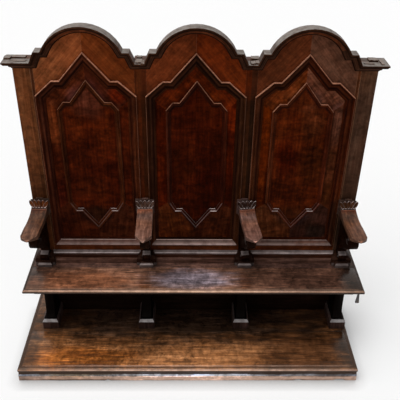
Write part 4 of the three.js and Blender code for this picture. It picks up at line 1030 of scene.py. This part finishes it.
# corners of one half from the foot up, and the section from the outer edge in: across, then out from the face
mouldingLook = {
    "outer": {
        "half": [(0.290, 0.702), (0.290, 1.767), (0.189, 1.859), (0.145, 1.859)], "apex": 2.027, "foot": None,
        "face": backFace - jointGap,
        "section": [(0.2, 8.0), (1.6, 10.8), (4.2, 12.0), (8.0, 12.0), (11.0, 10.6), (12.6, 7.6), (13.0, 4.6),
                    (15.2, 4.2), (15.6, 2.2), (20.0, -0.8), (26.0, -4.6), (31.0, -7.0), (35.0, -8.5),
                    (39.0, -9.4), (41.0, -9.7), (41.6, -8.2), (44.0, -7.0), (48.0, -6.8), (52.0, -8.0),
                    (54.0, -10.2), (55.0, -17.7)],
        "zones": {"arris": (0, 3), "crest": (3, 8), "bead": (8, 12.8), "groove": (12.8, 16), "line": (21, 30),
                  "shade": (30, 36), "quirk": (36, 42), "lip": (42, 50), "wall": (50, 56)},
        "zoneTints": {"groove": (0.8, 0.75, 0.7), "line": (1.2, 1.4, 1.8), "shade": (0.7, 0.6, 0.6),
                      "quirk": (0.5, 0.4, 0.45), "lip": (0.75, 0.75, 0.8), "wall": (0.8, 0.75, 0.7)},
        # colours of the left and right sides of each ring
        "sideTints": {"left": ((1.75, 1.3, 1.15), (2.1, 1.55, 1.0)),
                      "middle": ((1.15, 1.1, 1.0), (1.0, 1.0, 0.8)),
                      "right": ((1.65, 1.4, 1.0), (1.75, 1.1, 0.6))},
        # on the rakes, then at the foot
        "gleam": {"left": (1.0, 0.8), "middle": (0.85, 1.2), "right": (0.8, 0.6)},
        "arris": (0.14, 0.86), "lowPart": 0.80, "lowSlope": 0.12, "lowWarm": 0.3,
        "lowRakes": {}, "shifts": {},
        "lowMarks": {"arris": (0.2, 0), "crest": (0.31, 0), "bead": (0.54, 0), "groove": (0.5, 0),
                     "plain": (0.36, 0), "line": (0.2, 0), "shade": (0.05, 0), "quirk": (1.2, 0),
                     "wall": (0, 0.5)},
        "rakeShade": {"bead": (0, 0.50), "groove": (0, 0.65), "shade": (0, 0.45), "quirk": (0, 0.5)},
    },
    "inner": {
        "half": [(0.100, 0.956), (0.140, 0.956), (0.180, 1.026), (0.180, 1.671), (0.140, 1.721),
                 (0.100, 1.721)],
        "apex": 1.857, "foot": 0.820,
        "face": panelFace - jointGap,
        "section": [(0.2, 4.4), (1.0, 5.0), (2.0, 8.6), (4.4, 11.6), (7.6, 12.6), (11.6, 12.2), (13.8, 10.4),
                    (15.0, 7.4), (15.4, 5.6), (17.0, 5.2), (20.0, 4.4), (24.0, 4.0), (26.6, 4.4), (27.6, 3.8),
                    (28.0, 0.0)],
        "zones": {"arris": (0, 2.2), "crest": (2.2, 8), "bead": (11, 15.6), "hollow": (15.6, 24),
                  "lip": (24, 28.1)},
        "zoneTints": {"bead": (0.85, 0.8, 0.8), "hollow": (0.8, 0.75, 0.75), "lip": (0.85, 0.75, 0.7)},
        "sideTints": {"left": ((1.7, 1.35, 0.85), (2.6, 2.2, 1.5)),
                      "middle": ((1.2, 0.82, 0.9), (1.4, 0.8, 0.6)),
                      "right": ((2.6, 2.0, 1.5), (2.3, 1.5, 1.2))},
        "gleam": {"left": (0.36, 0.95), "middle": (0.55, 1.4), "right": (0.62, 0.9)},
        "arris": (0.08, 0.92), "lowPart": 1.06, "lowSlope": 0.30, "lowWarm": 0.0,
        # the rings hang a little askew: to the right and up, at the head and at the foot
        "shifts": {"left": ((0.002, 0), (0.006, 0)), "middle": ((0.005, 0), (0.008, 0)),
                   "right": ((0, -0.004), (0, 0.002))},
        "lowMarks": {"crest": (0.56, 0), "plain": (0.40, 0), "bead": (0.50, 0), "hollow": (0.45, 0),
                     "lip": (0.7, 0)},
        "lowRakes": {"arris": (0.07, 0), "crest": (0.10, 0), "plain": (0.11, 0), "bead": (0.08, 0),
                     "hollow": (0.10, 0), "lip": (0.09, 0)},
        "rakeShade": {"crest": (0, 0.35), "bead": (0, 0.60), "hollow": (0, 0.45)},
    },
}
# slopes over which the arris comes to gleam, how level a foot is, how far below the rakes their marks begin
gleamLook = {"slopeStart": 0.10, "slopeRange": 0.45, "level": 0.1, "rakeReach": 0.10}


def buildMoulding(bay, ring):
    look = mouldingLook[ring]
    name = bay + "_" + ring + "_moulding"
    middle = middleOf(bay + "_panel")
    right = look["half"]
    foot = [(0, look["foot"])] if look["foot"] else []
    corners = [(0, look["apex"])] + right[::-1] + foot + mirrored(right)
    atHead, atFoot = look["shifts"].get(bay, ((0, 0), (0, 0)))
    moves = [atFoot if z < look["lowPart"] else atHead for x, z in corners]
    corners = [(x + aside, z + up) for (x, z), (aside, up) in zip(corners, moves)]
    piece = addRing(name + "_dressed", moved(corners, middle), look["face"])
    giveFinish(piece, "moulding_walnut")
    carve(piece, look["section"], openMiddle)

    def zoneOf(face):
        across = ringDepth(corners, face.center.x - middle, face.center.z) * 1000
        return next((zone for zone, (start, end) in look["zones"].items() if start <= across < end), "plain")

    def zoneTint(face):
        side = look["sideTints"][bay][face.center.x > middle]
        return tuple(a * b for a, b in zip(side, look["zoneTints"].get(zoneOf(face), (1, 1, 1))))

    # painted highlights on the arrises, stronger as they face up, and on the members at the foot; painted
    # shade in the hollows of the rakes and on the foot's wall
    def marks(face, edge):
        zone = zoneOf(face)
        onRakes, atFoot = look["gleam"][bay]
        if face.center.z < look["lowPart"] and face.normal.z > look["lowSlope"]:
            isLevel = abs(face.normal.x) < gleamLook["level"]
            light, dark = look["lowMarks" if isLevel else "lowRakes"].get(zone, (0, 0))
            return (light * atFoot, dark, look["lowWarm"])
        if zone == "arris":
            least, more = look["arris"]
            turned = clamped((face.normal.z - gleamLook["slopeStart"]) / gleamLook["slopeRange"])
            return (least + more * onRakes * turned, 0.0, 1.0)
        onRake = face.center.z > right[-2][1] - gleamLook["rakeReach"]
        return look["rakeShade"].get(zone, (0, 0)) if onRake else (0, 0)

    seed = seeds["moulding"] + 2 * bayNames.index(bay) + (ring == "inner")
    settle(piece, "moulding_walnut", "run", seed, zoneTint, name, wearOf=marks)


skirtingLook = {
    "crown": seatTop + 0.046, "rearSlope": 0.5,
    # out from the face of the back, then how light and how dark the crown is up to there; the bright line is
    # a painted highlight
    "bands": [(0.0235, (0.26, 0.0)), (0.0305, (0.95, 0.0)), (0.043, (0.12, 0.0)), (1.0, (0.0, 0.15))],
    "crownTint": (0.9, 0.9, 1.0), "faceTint": (4.6, 8.6, 17.0), "bevel": 0.0012, "slice": 0.005,
}


def skirtingTint(face):
    return skirtingLook["faceTint" if face.center.z < skirtingLook["crown"] else "crownTint"]


def skirtingMarks(face, edge):
    if face.center.z < skirtingLook["crown"] or face.normal.y > skirtingLook["rearSlope"]:
        return (0.0, 0.0)
    out = backFace - face.center.y
    return next(mark for reach, mark in skirtingLook["bands"] if out < reach)


corniceLook = {
    "bands": [(0.007, 0.85), (0.031, 0.0), (0.044, 0.85), (0.060, 0.45)],  # out from the back, then how dark: painted shade under the cornice and in its hollows
    "crown": 2.10, "spring": 2.04, "crownBand": (1.7, 1.25, 0.95), "lowBand": (0.8, 0.85, 1.0),
    "topSlopes": (0.35, -0.5), "rearSlope": 0.3, "bevel": 0.0016,
    "shelf": 1.9755,  # where the packing lies, on the cornice's ends and valleys
    # old packing and broken ends of boards: from and to in x, from and to in y, top
    "packing": {
        "left_end_board": (-1.070, -1.030, 0.196, 0.236, 1.986),
        "left_end_strip": (-1.026, -0.950, 0.214, 0.244, 1.985),
        "left_end_slip": (-1.012, -0.940, 0.168, 0.190, 1.9785),
        "right_end_board": (0.968, 1.020, 0.206, 0.250, 1.988),
        "right_end_strip": (1.028, 1.046, 0.160, 0.240, 1.981),
        "right_end_slip": (0.935, 0.990, 0.170, 0.186, 1.980),
        "left_valley_board": (-0.333, -0.304, 0.206, 0.236, 1.993),
        "left_valley_block": (-0.334, -0.300, 0.150, 0.200, 1.985),
        "left_valley_chip": (-0.306, -0.286, 0.138, 0.190, 1.982),
        "right_valley_block": (0.305, 0.350, 0.196, 0.238, 1.994),
        "right_valley_chip": (0.300, 0.328, 0.145, 0.190, 1.984),
        "right_valley_slip": (0.326, 0.352, 0.150, 0.188, 1.988),
    },
    "packingBevel": 0.0012, "packingScale": 60.0, "packingCuts": 3, "packingFoot": 0.001,
    "packingEdge": 0.35, "packingSide": 0.6, "packingTop": 0.2,  # light edges, painted shade on the sides, slope of a top
    "packingTint": (2.6, 3.4, 4.2), "packingRough": 0.0035,
}


def corniceBand(face):
    out = backFace - face.center.y
    return next((dark for reach, dark in corniceLook["bands"] if out < reach), 0.0)


def onCorniceTop(face):
    least, front = corniceLook["topSlopes"]
    return face.normal.z > least and face.normal.y > front


def corniceTint(face):
    if corniceBand(face) > 0.0 or onCorniceTop(face):
        return (1, 1, 1)
    spring = corniceLook["spring"]
    share = clamped((face.center.z - spring) / (corniceLook["crown"] - spring))
    return tuple(Vector(corniceLook["lowBand"]).lerp(Vector(corniceLook["crownBand"]), share))


# painted shade from the bands, none on the top and the back
def corniceMarks(face, edge):
    isClean = onCorniceTop(face) or face.normal.y > corniceLook["rearSlope"]
    return (0.0, 0.0 if isClean else corniceBand(face))


def packingMarks(face, edge):
    isTop = face.normal.z > corniceLook["packingTop"]
    return (corniceLook["packingEdge"] * edge, 0.0 if isTop else corniceLook["packingSide"])


def addPacking(name, seed):
    # a split and weathered piece of board
    look = corniceLook
    left, right, front, rear, top = look["packing"][name]
    low, high = (left, front, look["shelf"]), (right, rear, top)
    piece = addShape(name, bpy.ops.mesh.primitive_cube_add, size=1)
    for vertex in piece.data.vertices:
        vertex.co = [a + (b - a) * (part + 0.5) for a, b, part in zip(low, high, vertex.co)]
    inEditMode(piece, lambda: bpy.ops.mesh.subdivide(number_cuts=look["packingCuts"]))
    giveFinish(piece, "cornice_walnut")
    roughen(piece, look["packingRough"], look["packingScale"], seed,
            lambda co: co.z > look["shelf"] + look["packingFoot"])
    for vertex in piece.data.vertices:
        vertex.co.z = max(look["shelf"], vertex.co.z)
    softenEdges(piece, look["packingBevel"], 1)
    along = "x" if right - left > rear - front else "y"
    settle(piece, "cornice_walnut", along, seed, look["packingTint"], wearOf=packingMarks)


def buildFrame():
    look = uprightLook
    bevels = look["bevels"]
    for kind, tintOf in (("post", postTint), ("stile", boardTints.get), ("mullion", mullionTint)):
        slices, rows = look["cuts"][kind]
        for hand in ("left", "right"):
            name = hand + "_" + kind
            dress(name, "frame_walnut", "z", bevels[kind], tintOf(name), slices=slices, rows=rows,
                  wave=look["wave"], backTint=rawBack)
    dress("bottom_rail", "frame_walnut", "x", bevels["rail"], boardTints["bottom_rail"], backTint=rawBack)
    aside, up = look["headGrain"]
    for bay in bayNames:
        for hand, sign in (("left", 1), ("right", -1)):
            name = bay + "_bay_head_" + hand
            along = Vector((aside, 0, up * sign))
            dress(name, "frame_walnut", along, bevels["head"], boardTints[name], backTint=rawBack)
        for ring in ("outer", "inner"):
            buildMoulding(bay, ring)
        dress(bay + "_skirting", "moulding_walnut", "x", skirtingLook["bevel"], skirtingTint,
              slices=(1, skirtingLook["slice"]), wearOf=skirtingMarks)
        dress(bay + "_cornice", "cornice_walnut", "run", corniceLook["bevel"], corniceTint,
              wearOf=corniceMarks)
    for hand in ("left", "right"):
        dress(hand + "_cornice_return", "cornice_walnut", "y", corniceLook["bevel"])
    for i, name in enumerate(corniceLook["packing"]):
        addPacking(name, seeds["packing"] + i)


fieldLook = {
    "thickness": 0.0008,
    "centre": [(0, 1.842), (0.095, 1.712), (0.136, 1.712), (0.170, 1.670), (0.170, 1.030), (0.136, 0.967),
               (0.095, 0.967), (0, 0.836)],
    "top": [(0, 1.842), (0.095, 1.712), (0.136, 1.712), (0.170, 1.670), (0.284, 1.764), (0.184, 1.850),
            (0.140, 1.850), (0, 2.010)],
    "side": [(0.170, 1.670), (0.170, 1.030), (0.284, 0.946), (0.284, 1.764)],
    "foot": [(0.170, 1.030), (0.136, 0.967), (0.095, 0.967), (0, 0.836), (0, 0.712), (0.284, 0.712),
             (0.284, 0.946)],
    "tints": {
        "left": {"centre": (0.88, 0.70, 0.54), "top_left": (1.10, 1.25, 1.6), "top_right": (0.72, 0.85, 1.45),
                 "side_left": (1.05, 1.0, 1.05), "side_right": (0.90, 0.76, 0.64),
                 "foot_left": (0.60, 0.66, 0.85), "foot_right": (0.71, 1.00, 1.6)},
        "middle": {"centre_left": (0.60, 0.42, 0.32), "centre_right": (0.44, 0.30, 0.22),
                   "top_left": (1.15, 0.92, 0.62), "top_right": (1.06, 0.89, 0.64),
                   "side_left": (0.93, 0.58, 0.2), "side_right": (0.66, 0.42, 0.2),
                   "foot_left": (1.10, 1.40, 1.4), "foot_right": (0.73, 0.97, 1.3)},
        "right": {"centre": (0.98, 0.88, 0.65), "top_left": (1.75, 2.05, 1.8), "top_right": (2.1, 4.2, 8.8),
                  "side_left": (1.08, 0.92, 0.28), "side_right": (0.90, 1.32, 1.9),
                  "foot_left": (1.15, 1.90, 2.6), "foot_right": (0.58, 1.23, 3.2)},
    },
    "grain": {"centre": (0, 0, 1), "top": (0.65, 0, -0.76), "side": (0.03, 0, 1), "foot": (0.12, 0, 1)},
    # darker steps along the inner moulding, inside and outside it: how dark each step is, and how much of it
    # at the head, in the middle and at the foot
    "rimStep": 0.008, "headStart": 1.70, "footEnd": 1.12,
    "rims": {"inside": ([0.42, 0.30, 0.18, 0.08], (0.25, 1.0, 1.6)),
             "outside": ([0.0, 0.50, 0.28], (1.0, 1.0, 0.0))},
    "bevel": 0.0003, "panelBevel": 0.0012, "panelTint": (0.9, 0.9, 0.9), "panelBack": (2.4, 6.5, 12.0),
}


def addPlate(name, outline, front, rims):
    # a thin sheet of veneer, cut to its outline
    plate = addRing(name, outline, front)
    step = fieldLook["rimStep"]
    inEditMode(plate, *[lambda: bpy.ops.mesh.inset(thickness=step, depth=0, use_even_offset=True)] * rims)
    solid = plate.modifiers.new("thickness", "SOLIDIFY")
    solid.thickness = fieldLook["thickness"]
    solid.offset = 0
    bpy.ops.object.modifier_apply(modifier=solid.name)
    inEditMode(plate, faceOutwards)
    return plate


def rimMarks(outline, darks, shares):
    head, middle, foot = shares

    def marks(face, edge):
        z = face.center.z
        step = int(ringDepth(outline, face.center.x, z) / fieldLook["rimStep"])
        share = head if z > fieldLook["headStart"] else middle if z > fieldLook["footEnd"] else foot
        return (0.0, darks[step] * share if step < len(darks) else 0.0)

    return marks


def buildField(bay):
    look = fieldLook
    middle = middleOf(bay + "_panel")
    tints = look["tints"][bay]
    seed = seeds["field"] + 10 * bayNames.index(bay)
    half = look["centre"]
    whole = half + mirrored(half[-2:0:-1])
    upright = Vector(look["grain"]["centre"])
    jobs = []
    if "centre" in tints:
        jobs.append(("centre", whole, upright, None))
    else:  # two leaves opened like a book
        jobs.append(("centre_right", half, upright, None))
        jobs.append(("centre_left", mirrored(half), upright, middle))
    for part in ("top", "side", "foot"):
        along = Vector(look["grain"][part])
        jobs.append((part + "_right", look[part], along, None))
        jobs.append((part + "_left", mirrored(look[part]), Vector((-along.x, 0, along.z)), None))
    for i, (part, outline, along, mirrorAt) in enumerate(jobs):
        darks, shares = look["rims"]["inside" if part.startswith("centre") else "outside"]
        plate = addPlate(bay + "_field_" + part, moved(outline, middle), panelFace - look["thickness"] / 2,
                         len(darks))
        giveFinish(plate, "panel_walnut")
        softenEdges(plate, look["bevel"], 1)
        settle(plate, "panel_walnut", along, seed if mirrorAt else seed + i, tints[part], mirrorAt=mirrorAt,
               wearOf=rimMarks(moved(whole, middle), darks, shares))
    dress(bay + "_panel", "panel_walnut", "z", look["panelBevel"], look["panelTint"],
          backTint=look["panelBack"])


buildFrame()
for bay in bayNames:
    buildField(bay)
print("back dressed")

# Arms, consoles and plinths


def bySide(*values):
    return dict(zip(sideNames, values))


armLook = {
    "uprights": bySide("left_post", "left_mullion", "right_mullion", "right_post"),
    "shift": bySide(0, 0, 0.012, -0.004),
    "splay": bySide(-2, 1, 5, 2),  # degrees, front to the right
    "reach": 0.357, "halfWidth": 0.049,
    # how far the worn front corners lie behind the tip, left and right, and how far they flare out
    "cornersBack": bySide((0.004, 0.018), (0.028, 0.028), (0.022, 0.006), (0.016, 0.004)),
    "flare": bySide((0.006, 0), (0, 0), (0, 0.004), (0, 0.006)),
    "rimLight": bySide(2.0, 1.2, 3.0, 2.8),
    "slice": 0.011, "bevel": (0.003, 3), "wave": 0.0009, "waveScale": 22.0,
    # shares of the reach from which the corners go back and flare, and how sharply they go back
    "backFrom": 0.72, "flareFrom": 0.85, "cornerPower": 1.4,
    # the lit rim at the tip: share it starts from, least slope ahead, slopes upwards
    "rim": (0.85, 0.3, 0.15, 0.9), "bareRim": (0.80, 0.15, -0.2),
    # sides darker than the top: painted shade
    "rimBare": 0.85, "edgeBare": 0.12, "sideSlope": 0.3, "sideShade": 0.5,
    "stain": 0.05, "stainScale": 30,  # unevenness of the bands
    "tints": bySide((0.88, 0.86, 0.76), (1.06, 1.12, 1.25), (0.92, 0.95, 1.12), (0.78, 0.74, 0.66)),
    # colours along the top, at shares of the reach; the grey-blue around a quarter of the way is a painted
    # reflection
    "bands": [(0.0, (0.40, 0.45, 0.55)), (0.12, (0.45, 0.45, 0.48)), (0.155, (0.95, 0.62, 0.42)),
              (0.20, (0.85, 0.70, 0.58)), (0.26, (0.70, 0.78, 0.86)), (0.33, (0.80, 0.84, 0.88)),
              (0.45, (1.0, 0.90, 0.78)), (0.75, (1.0, 0.98, 0.98)), (1.2, (1.02, 1.05, 1.10))],
    "consoleTint": (0.32, 0.34, 0.36), "plinthTint": (0.8, 1.2, 2.0),
    "consoleGrain": (0, -0.55, 0.83), "consoleBevel": 0.002, "plinthBevel": 0.0012, "plinthSlice": 0.006,
    "roll": (0.075, 0.10), "rollSlopes": (0.75, -0.05), "rollLight": 0.30,  # the console's foot
    # the plinth's moulded edge: slopes, heights above the seat, and its painted highlight
    "edgeSlope": -0.25, "edgeSlopes": (0.25, 0.95), "faceSlope": -0.8,
    "edgeTop": 0.036, "bevelTop": 0.027, "faceTop": 0.022, "edgeLight": 0.14,
    "bevelLight": bySide(0.42, 0.70, 0.45, 0.30),
}


def armUnit(side):
    # where an arm leaves its upright, then forwards and to the right along it
    lean = math.radians(armLook["splay"][side])
    root = Vector((middleOf(armLook["uprights"][side]) + armLook["shift"][side], backFace, 0))
    return root, Vector((math.sin(lean), -math.cos(lean), 0)), Vector((math.cos(lean), math.sin(lean), 0))


def splayTurn(side):
    return Matrix.Rotation(math.radians(armLook["splay"][side]), 4, "Z")


def sideSeed(kind, side):
    return seeds[kind] + sideNames.index(side)


def buildArm(side):
    look = armLook
    root, ahead, across = armUnit(side)
    piece = copyNode(side + "_arm")
    giveFinish(piece, "arm_walnut")
    sliceAlong(piece, 1, look["slice"])
    sliceAlong(piece, 0, look["halfWidth"] / 2)

    def shareOf(spot):
        return (spot - root).dot(ahead) / look["reach"]

    def after(share, start):
        return max(0.0, (share - start) / (1 - start))

    for vertex in piece.data.vertices:
        share = shareOf(vertex.co)
        aside = (vertex.co - root).dot(across) / look["halfWidth"]
        corner = 0 if aside < 0 else 1
        outward = min(1.0, abs(aside)) ** look["cornerPower"]
        vertex.co -= ahead * look["cornersBack"][side][corner] * after(share, look["backFrom"]) * outward
        vertex.co += across * aside * look["flare"][side][corner] * after(share, look["flareFrom"])
    softenEdges(piece, *look["bevel"])
    seed = sideSeed("arm", side)
    roughen(piece, look["wave"], look["waveScale"], seed)

    def bandTint(face):
        share = shareOf(face.center)
        start, slope, least, most = look["rim"]
        onRim = share > start and face.normal.dot(ahead) > slope and least < face.normal.z < most
        light = look["rimLight"][side] if onRim else 1.0
        share = max(0.0, share + look["stain"] * noise.noise(face.center * look["stainScale"]))
        above = next(i for i, (place, colour) in enumerate(look["bands"]) if share < place)
        (start, first), (end, second) = look["bands"][above - 1], look["bands"][above]
        band = Vector(first).lerp(Vector(second), (share - start) / (end - start))
        return tuple(light * a * b for a, b in zip(band, look["tints"][side]))

    # bare rim at the tip; painted shade on the sides
    def marks(face, edge):
        start, slope, least = look["bareRim"]
        isAhead = shareOf(face.center) > start and face.normal.dot(ahead) > slope
        onRim = edge and isAhead and face.normal.z > least
        isSide = face.normal.z < look["sideSlope"] and not edge
        return (look["rimBare"] if onRim else look["edgeBare"] * edge, look["sideShade"] if isSide else 0.0)

    settle(piece, "arm_walnut", ahead, seed, bandTint, side + "_arm", wearOf=marks)


# a fan of carved leaves where the arm sweeps up to its upright
collarLook = {
    "leaves": 5, "fan": 13, "step": 0.0165,
    "leaf": [(-0.62, 0), (0.62, 0), (0.9, 0.3), (1, 0.55), (0.72, 0.82), (0, 1), (-0.72, 0.82), (-1, 0.55),
             (-0.9, 0.3)],  # shares of half its width and of its length
    "halfWidth": 0.0125, "length": 0.056, "curl": 0.010,
    "section": [(0.5, 3.2), (1.5, 4.8), (2.6, 5.2), (3.8, 4.2), (5.6, 2.6)],  # across, then out
    "lean": 23, "foot": (0.042, 0.054),  # degrees back, then forwards and above the arm's underside
    "tints": bySide((4.6, 5.0, 4.4), (2.0, 3.8, 7.0), (0.95, 1.6, 3.0), (2.3, 3.4, 4.2)),
    "bandHalf": 0.046, "bandHeight": 0.011, "bandLean": 62, "bandFoot": (0.058, 0.0455),
    "bandSection": [(0.4, 2.4), (1.4, 4.2), (3.0, 5.0)],
    "bandTint": (0.85, 0.50, 0.30),
    "lights": [(0.62, 0.75), (0.35, 0.22)],  # slopes upwards, then how light
}


def addCarved(name, outline, section):
    # an outline carved step by step towards the front, and closed behind
    piece = addRing(name, outline, 0.0)
    carve(piece, section, closeBack)
    return piece


def copyPiece(piece, name):
    twin = bpy.data.objects.new(name, piece.data.copy())
    bpy.context.collection.objects.link(twin)
    return twin


def joinPieces(pieces):
    pick(*pieces)
    bpy.ops.object.join()
    return pieces[0]


def placeOnArm(piece, side, lean, forward, height):
    root, ahead = armUnit(side)[:2]
    spot = root + ahead * forward
    spot.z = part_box(side + "_arm")[0].z + height
    tilt = Matrix.Rotation(math.radians(-lean), 4, "X")
    piece.data.transform(Matrix.Translation(spot) @ splayTurn(side) @ tilt)


def makeLeaf():
    look = collarLook
    leaf = addCarved("leafPattern", [(u * look["halfWidth"], v * look["length"]) for u, v in look["leaf"]],
                     look["section"])
    for vertex in leaf.data.vertices:
        vertex.co.y -= look["curl"] * max(0.0, vertex.co.z / look["length"]) ** 2
    return leaf


def buildCollar(side):
    look = collarLook
    leaves = []
    for i in range(look["leaves"]):
        place = i - (look["leaves"] - 1) / 2
        leaf = copyPiece(patterns["leaf"], side + "_arm_collar")
        fan = Matrix.Rotation(math.radians(look["fan"] * place), 4, "Y")
        leaf.data.transform(Matrix.Translation((look["step"] * place, 0, 0)) @ fan)
        leaves.append(leaf)
    collar = joinPieces(leaves)
    placeOnArm(collar, side, look["lean"], *look["foot"])
    giveFinish(collar, "moulding_walnut")

    # painted highlight on the up-facing tips of the leaves
    def leafMarks(face, edge):
        return (next((light for slope, light in look["lights"] if face.normal.z > slope), 0.0), 0.0)

    settle(collar, "moulding_walnut", "z", sideSeed("collar", side), look["tints"][side], wearOf=leafMarks)

    half, height = look["bandHalf"], look["bandHeight"]
    outline = [(-half, 0), (half, 0), (half, height), (-half, height)]
    band = addCarved(side + "_arm_band", outline, look["bandSection"])
    placeOnArm(band, side, look["bandLean"], *look["bandFoot"])
    giveFinish(band, "arm_walnut")
    settle(band, "arm_walnut", "x", sideSeed("band", side), look["bandTint"])


# the scroll carved on both cheeks of a console
scrollLook = {
    "volute": (0.206, 0.9017), "radius": 0.050, "turns": 2.25, "stepsPerTurn": 16, "shrink": 0.42,
    "ridge": (0.0046, 0.0030),  # width, then out from the cheek
    "cheek": 0.026,
    "boss": 0.0085, "bossSection": [(0.6, 2.4), (2.2, 4.2), (4.6, 5.0)],
    "footRoll": (0.065, 0.6603), "footBoss": 0.019,
    "footSection": [(0.4, 1.6), (2.2, 2.6), (4.2, 1.8), (8.5, 1.2), (10.0, 3.4), (13.0, 4.6)],
    "bossSides": 14, "topSlope": 0.5, "topLight": 0.16,
}


def addSpiral(name):
    # a ridge drawn inwards by turning and shrinking each new stretch about the eye
    look = scrollLook
    width, out = look["ridge"]
    ridge = addRing(name, [(-out, 0), (0, 0), (0, width), (-out, width)], 0.0)
    ridge.data.transform(Matrix.Translation((0, 0, look["radius"] - width)))
    count = int(look["turns"] * look["stepsPerTurn"])
    keep = look["shrink"] ** (1 / look["stepsPerTurn"])
    turn = 2 * math.pi / look["stepsPerTurn"]

    def stretch():
        bpy.ops.mesh.extrude_region_move()
        bpy.ops.transform.rotate(value=turn, orient_axis="X", center_override=(0, 0, 0))
        bpy.ops.transform.resize(value=(1, keep, keep), center_override=(0, 0, 0))

    inEditMode(ridge, *([stretch] * count), faceOutwards)
    return ridge


def addBoss(name, radius, section):
    sides = scrollLook["bossSides"]
    turns = [2 * math.pi * i / sides for i in range(sides)]
    boss = addCarved(name, [(radius * math.cos(a), radius * math.sin(a)) for a in turns], section)
    boss.data.transform(Matrix.Rotation(math.radians(-90), 4, "Z"))  # its front to the left, as the ridge's
    return boss


def buildScrolls(side):
    look = scrollLook
    root, ahead, across = armUnit(side)
    parts = []
    for hand in (-1, 1):
        for name, place in (("scroll", "volute"), ("boss", "volute"), ("footBoss", "footRoll")):
            forward, height = look[place]
            part = copyPiece(patterns[name], side + "_console_scrolls")
            if hand > 0:
                part.data.transform(Matrix.Scale(-1, 4, (1, 0, 0)))
                part.data.flip_normals()
            spot = root + ahead * forward + across * hand * look["cheek"]
            spot.z = height
            part.data.transform(Matrix.Translation(spot) @ splayTurn(side))
            parts.append(part)
    scrolls = joinPieces(parts)
    giveFinish(scrolls, "moulding_walnut")

    # painted highlight on the faces that look up
    def scrollMarks(face, edge):
        return (look["topLight"] if face.normal.z > look["topSlope"] else 0.0, 0.0)

    seed = sideSeed("scrolls", side)
    settle(scrolls, "moulding_walnut", "z", seed, armLook["consoleTint"], wearOf=scrollMarks)


def consoleMarks(face, edge):
    # painted highlight: only the top of the roll at its foot is lightened
    low, high = armLook["roll"]
    upwards, front = armLook["rollSlopes"]
    isFoot = seatTop + low < face.center.z < seatTop + high
    isRoll = isFoot and face.normal.z > upwards and face.normal.y < front
    return (armLook["rollLight"] if isRoll else 0.0, 0.0)


def plinthMarks(side):
    look = armLook
    least, most = look["edgeSlopes"]

    def marks(face, edge):
        high = face.center.z - seatTop
        front = face.normal.y
        if front < look["edgeSlope"] and least < face.normal.z < most and high < look["edgeTop"]:
            return (look["bevelLight"][side] if high < look["bevelTop"] else look["edgeLight"], 0.0)
        return (look["edgeLight"] if front < look["faceSlope"] and high < look["faceTop"] else 0.0, 0.0)

    return marks


def buildArms():
    look = armLook
    for side in sideNames:
        buildArm(side)
        buildCollar(side)
        dress(side + "_console", "moulding_walnut", Vector(look["consoleGrain"]), look["consoleBevel"],
              look["consoleTint"], wearOf=consoleMarks)
        buildScrolls(side)
        dress(side + "_seat_plinth", "moulding_walnut", "x", look["plinthBevel"], look["plinthTint"],
              slices=(2, look["plinthSlice"]), wearOf=plinthMarks(side))


# each carved shape is modelled once, then copied
patterns = {
    "leaf": makeLeaf(),
    "scroll": addSpiral("scrollPattern"),
    "boss": addBoss("bossPattern", scrollLook["boss"], scrollLook["bossSection"]),
    "footBoss": addBoss("footBossPattern", scrollLook["footBoss"], scrollLook["footSection"]),
}
buildArms()
for pattern in patterns.values():
    bpy.data.objects.remove(pattern)
print("arms dressed")

# Ironwork


def buildIron():
    for name, body in (("link_staple", "stall"), ("link_plate", "link")):
        piece = copyNode(name)
        giveFinish(piece, "iron")
        softenEdges(piece, ironLook["bevel"])
        for face in piece.data.polygons:
            face.material_index = 0
        finishPiece(piece, "iron", body, name)


buildIron()
print("ironwork dressed")
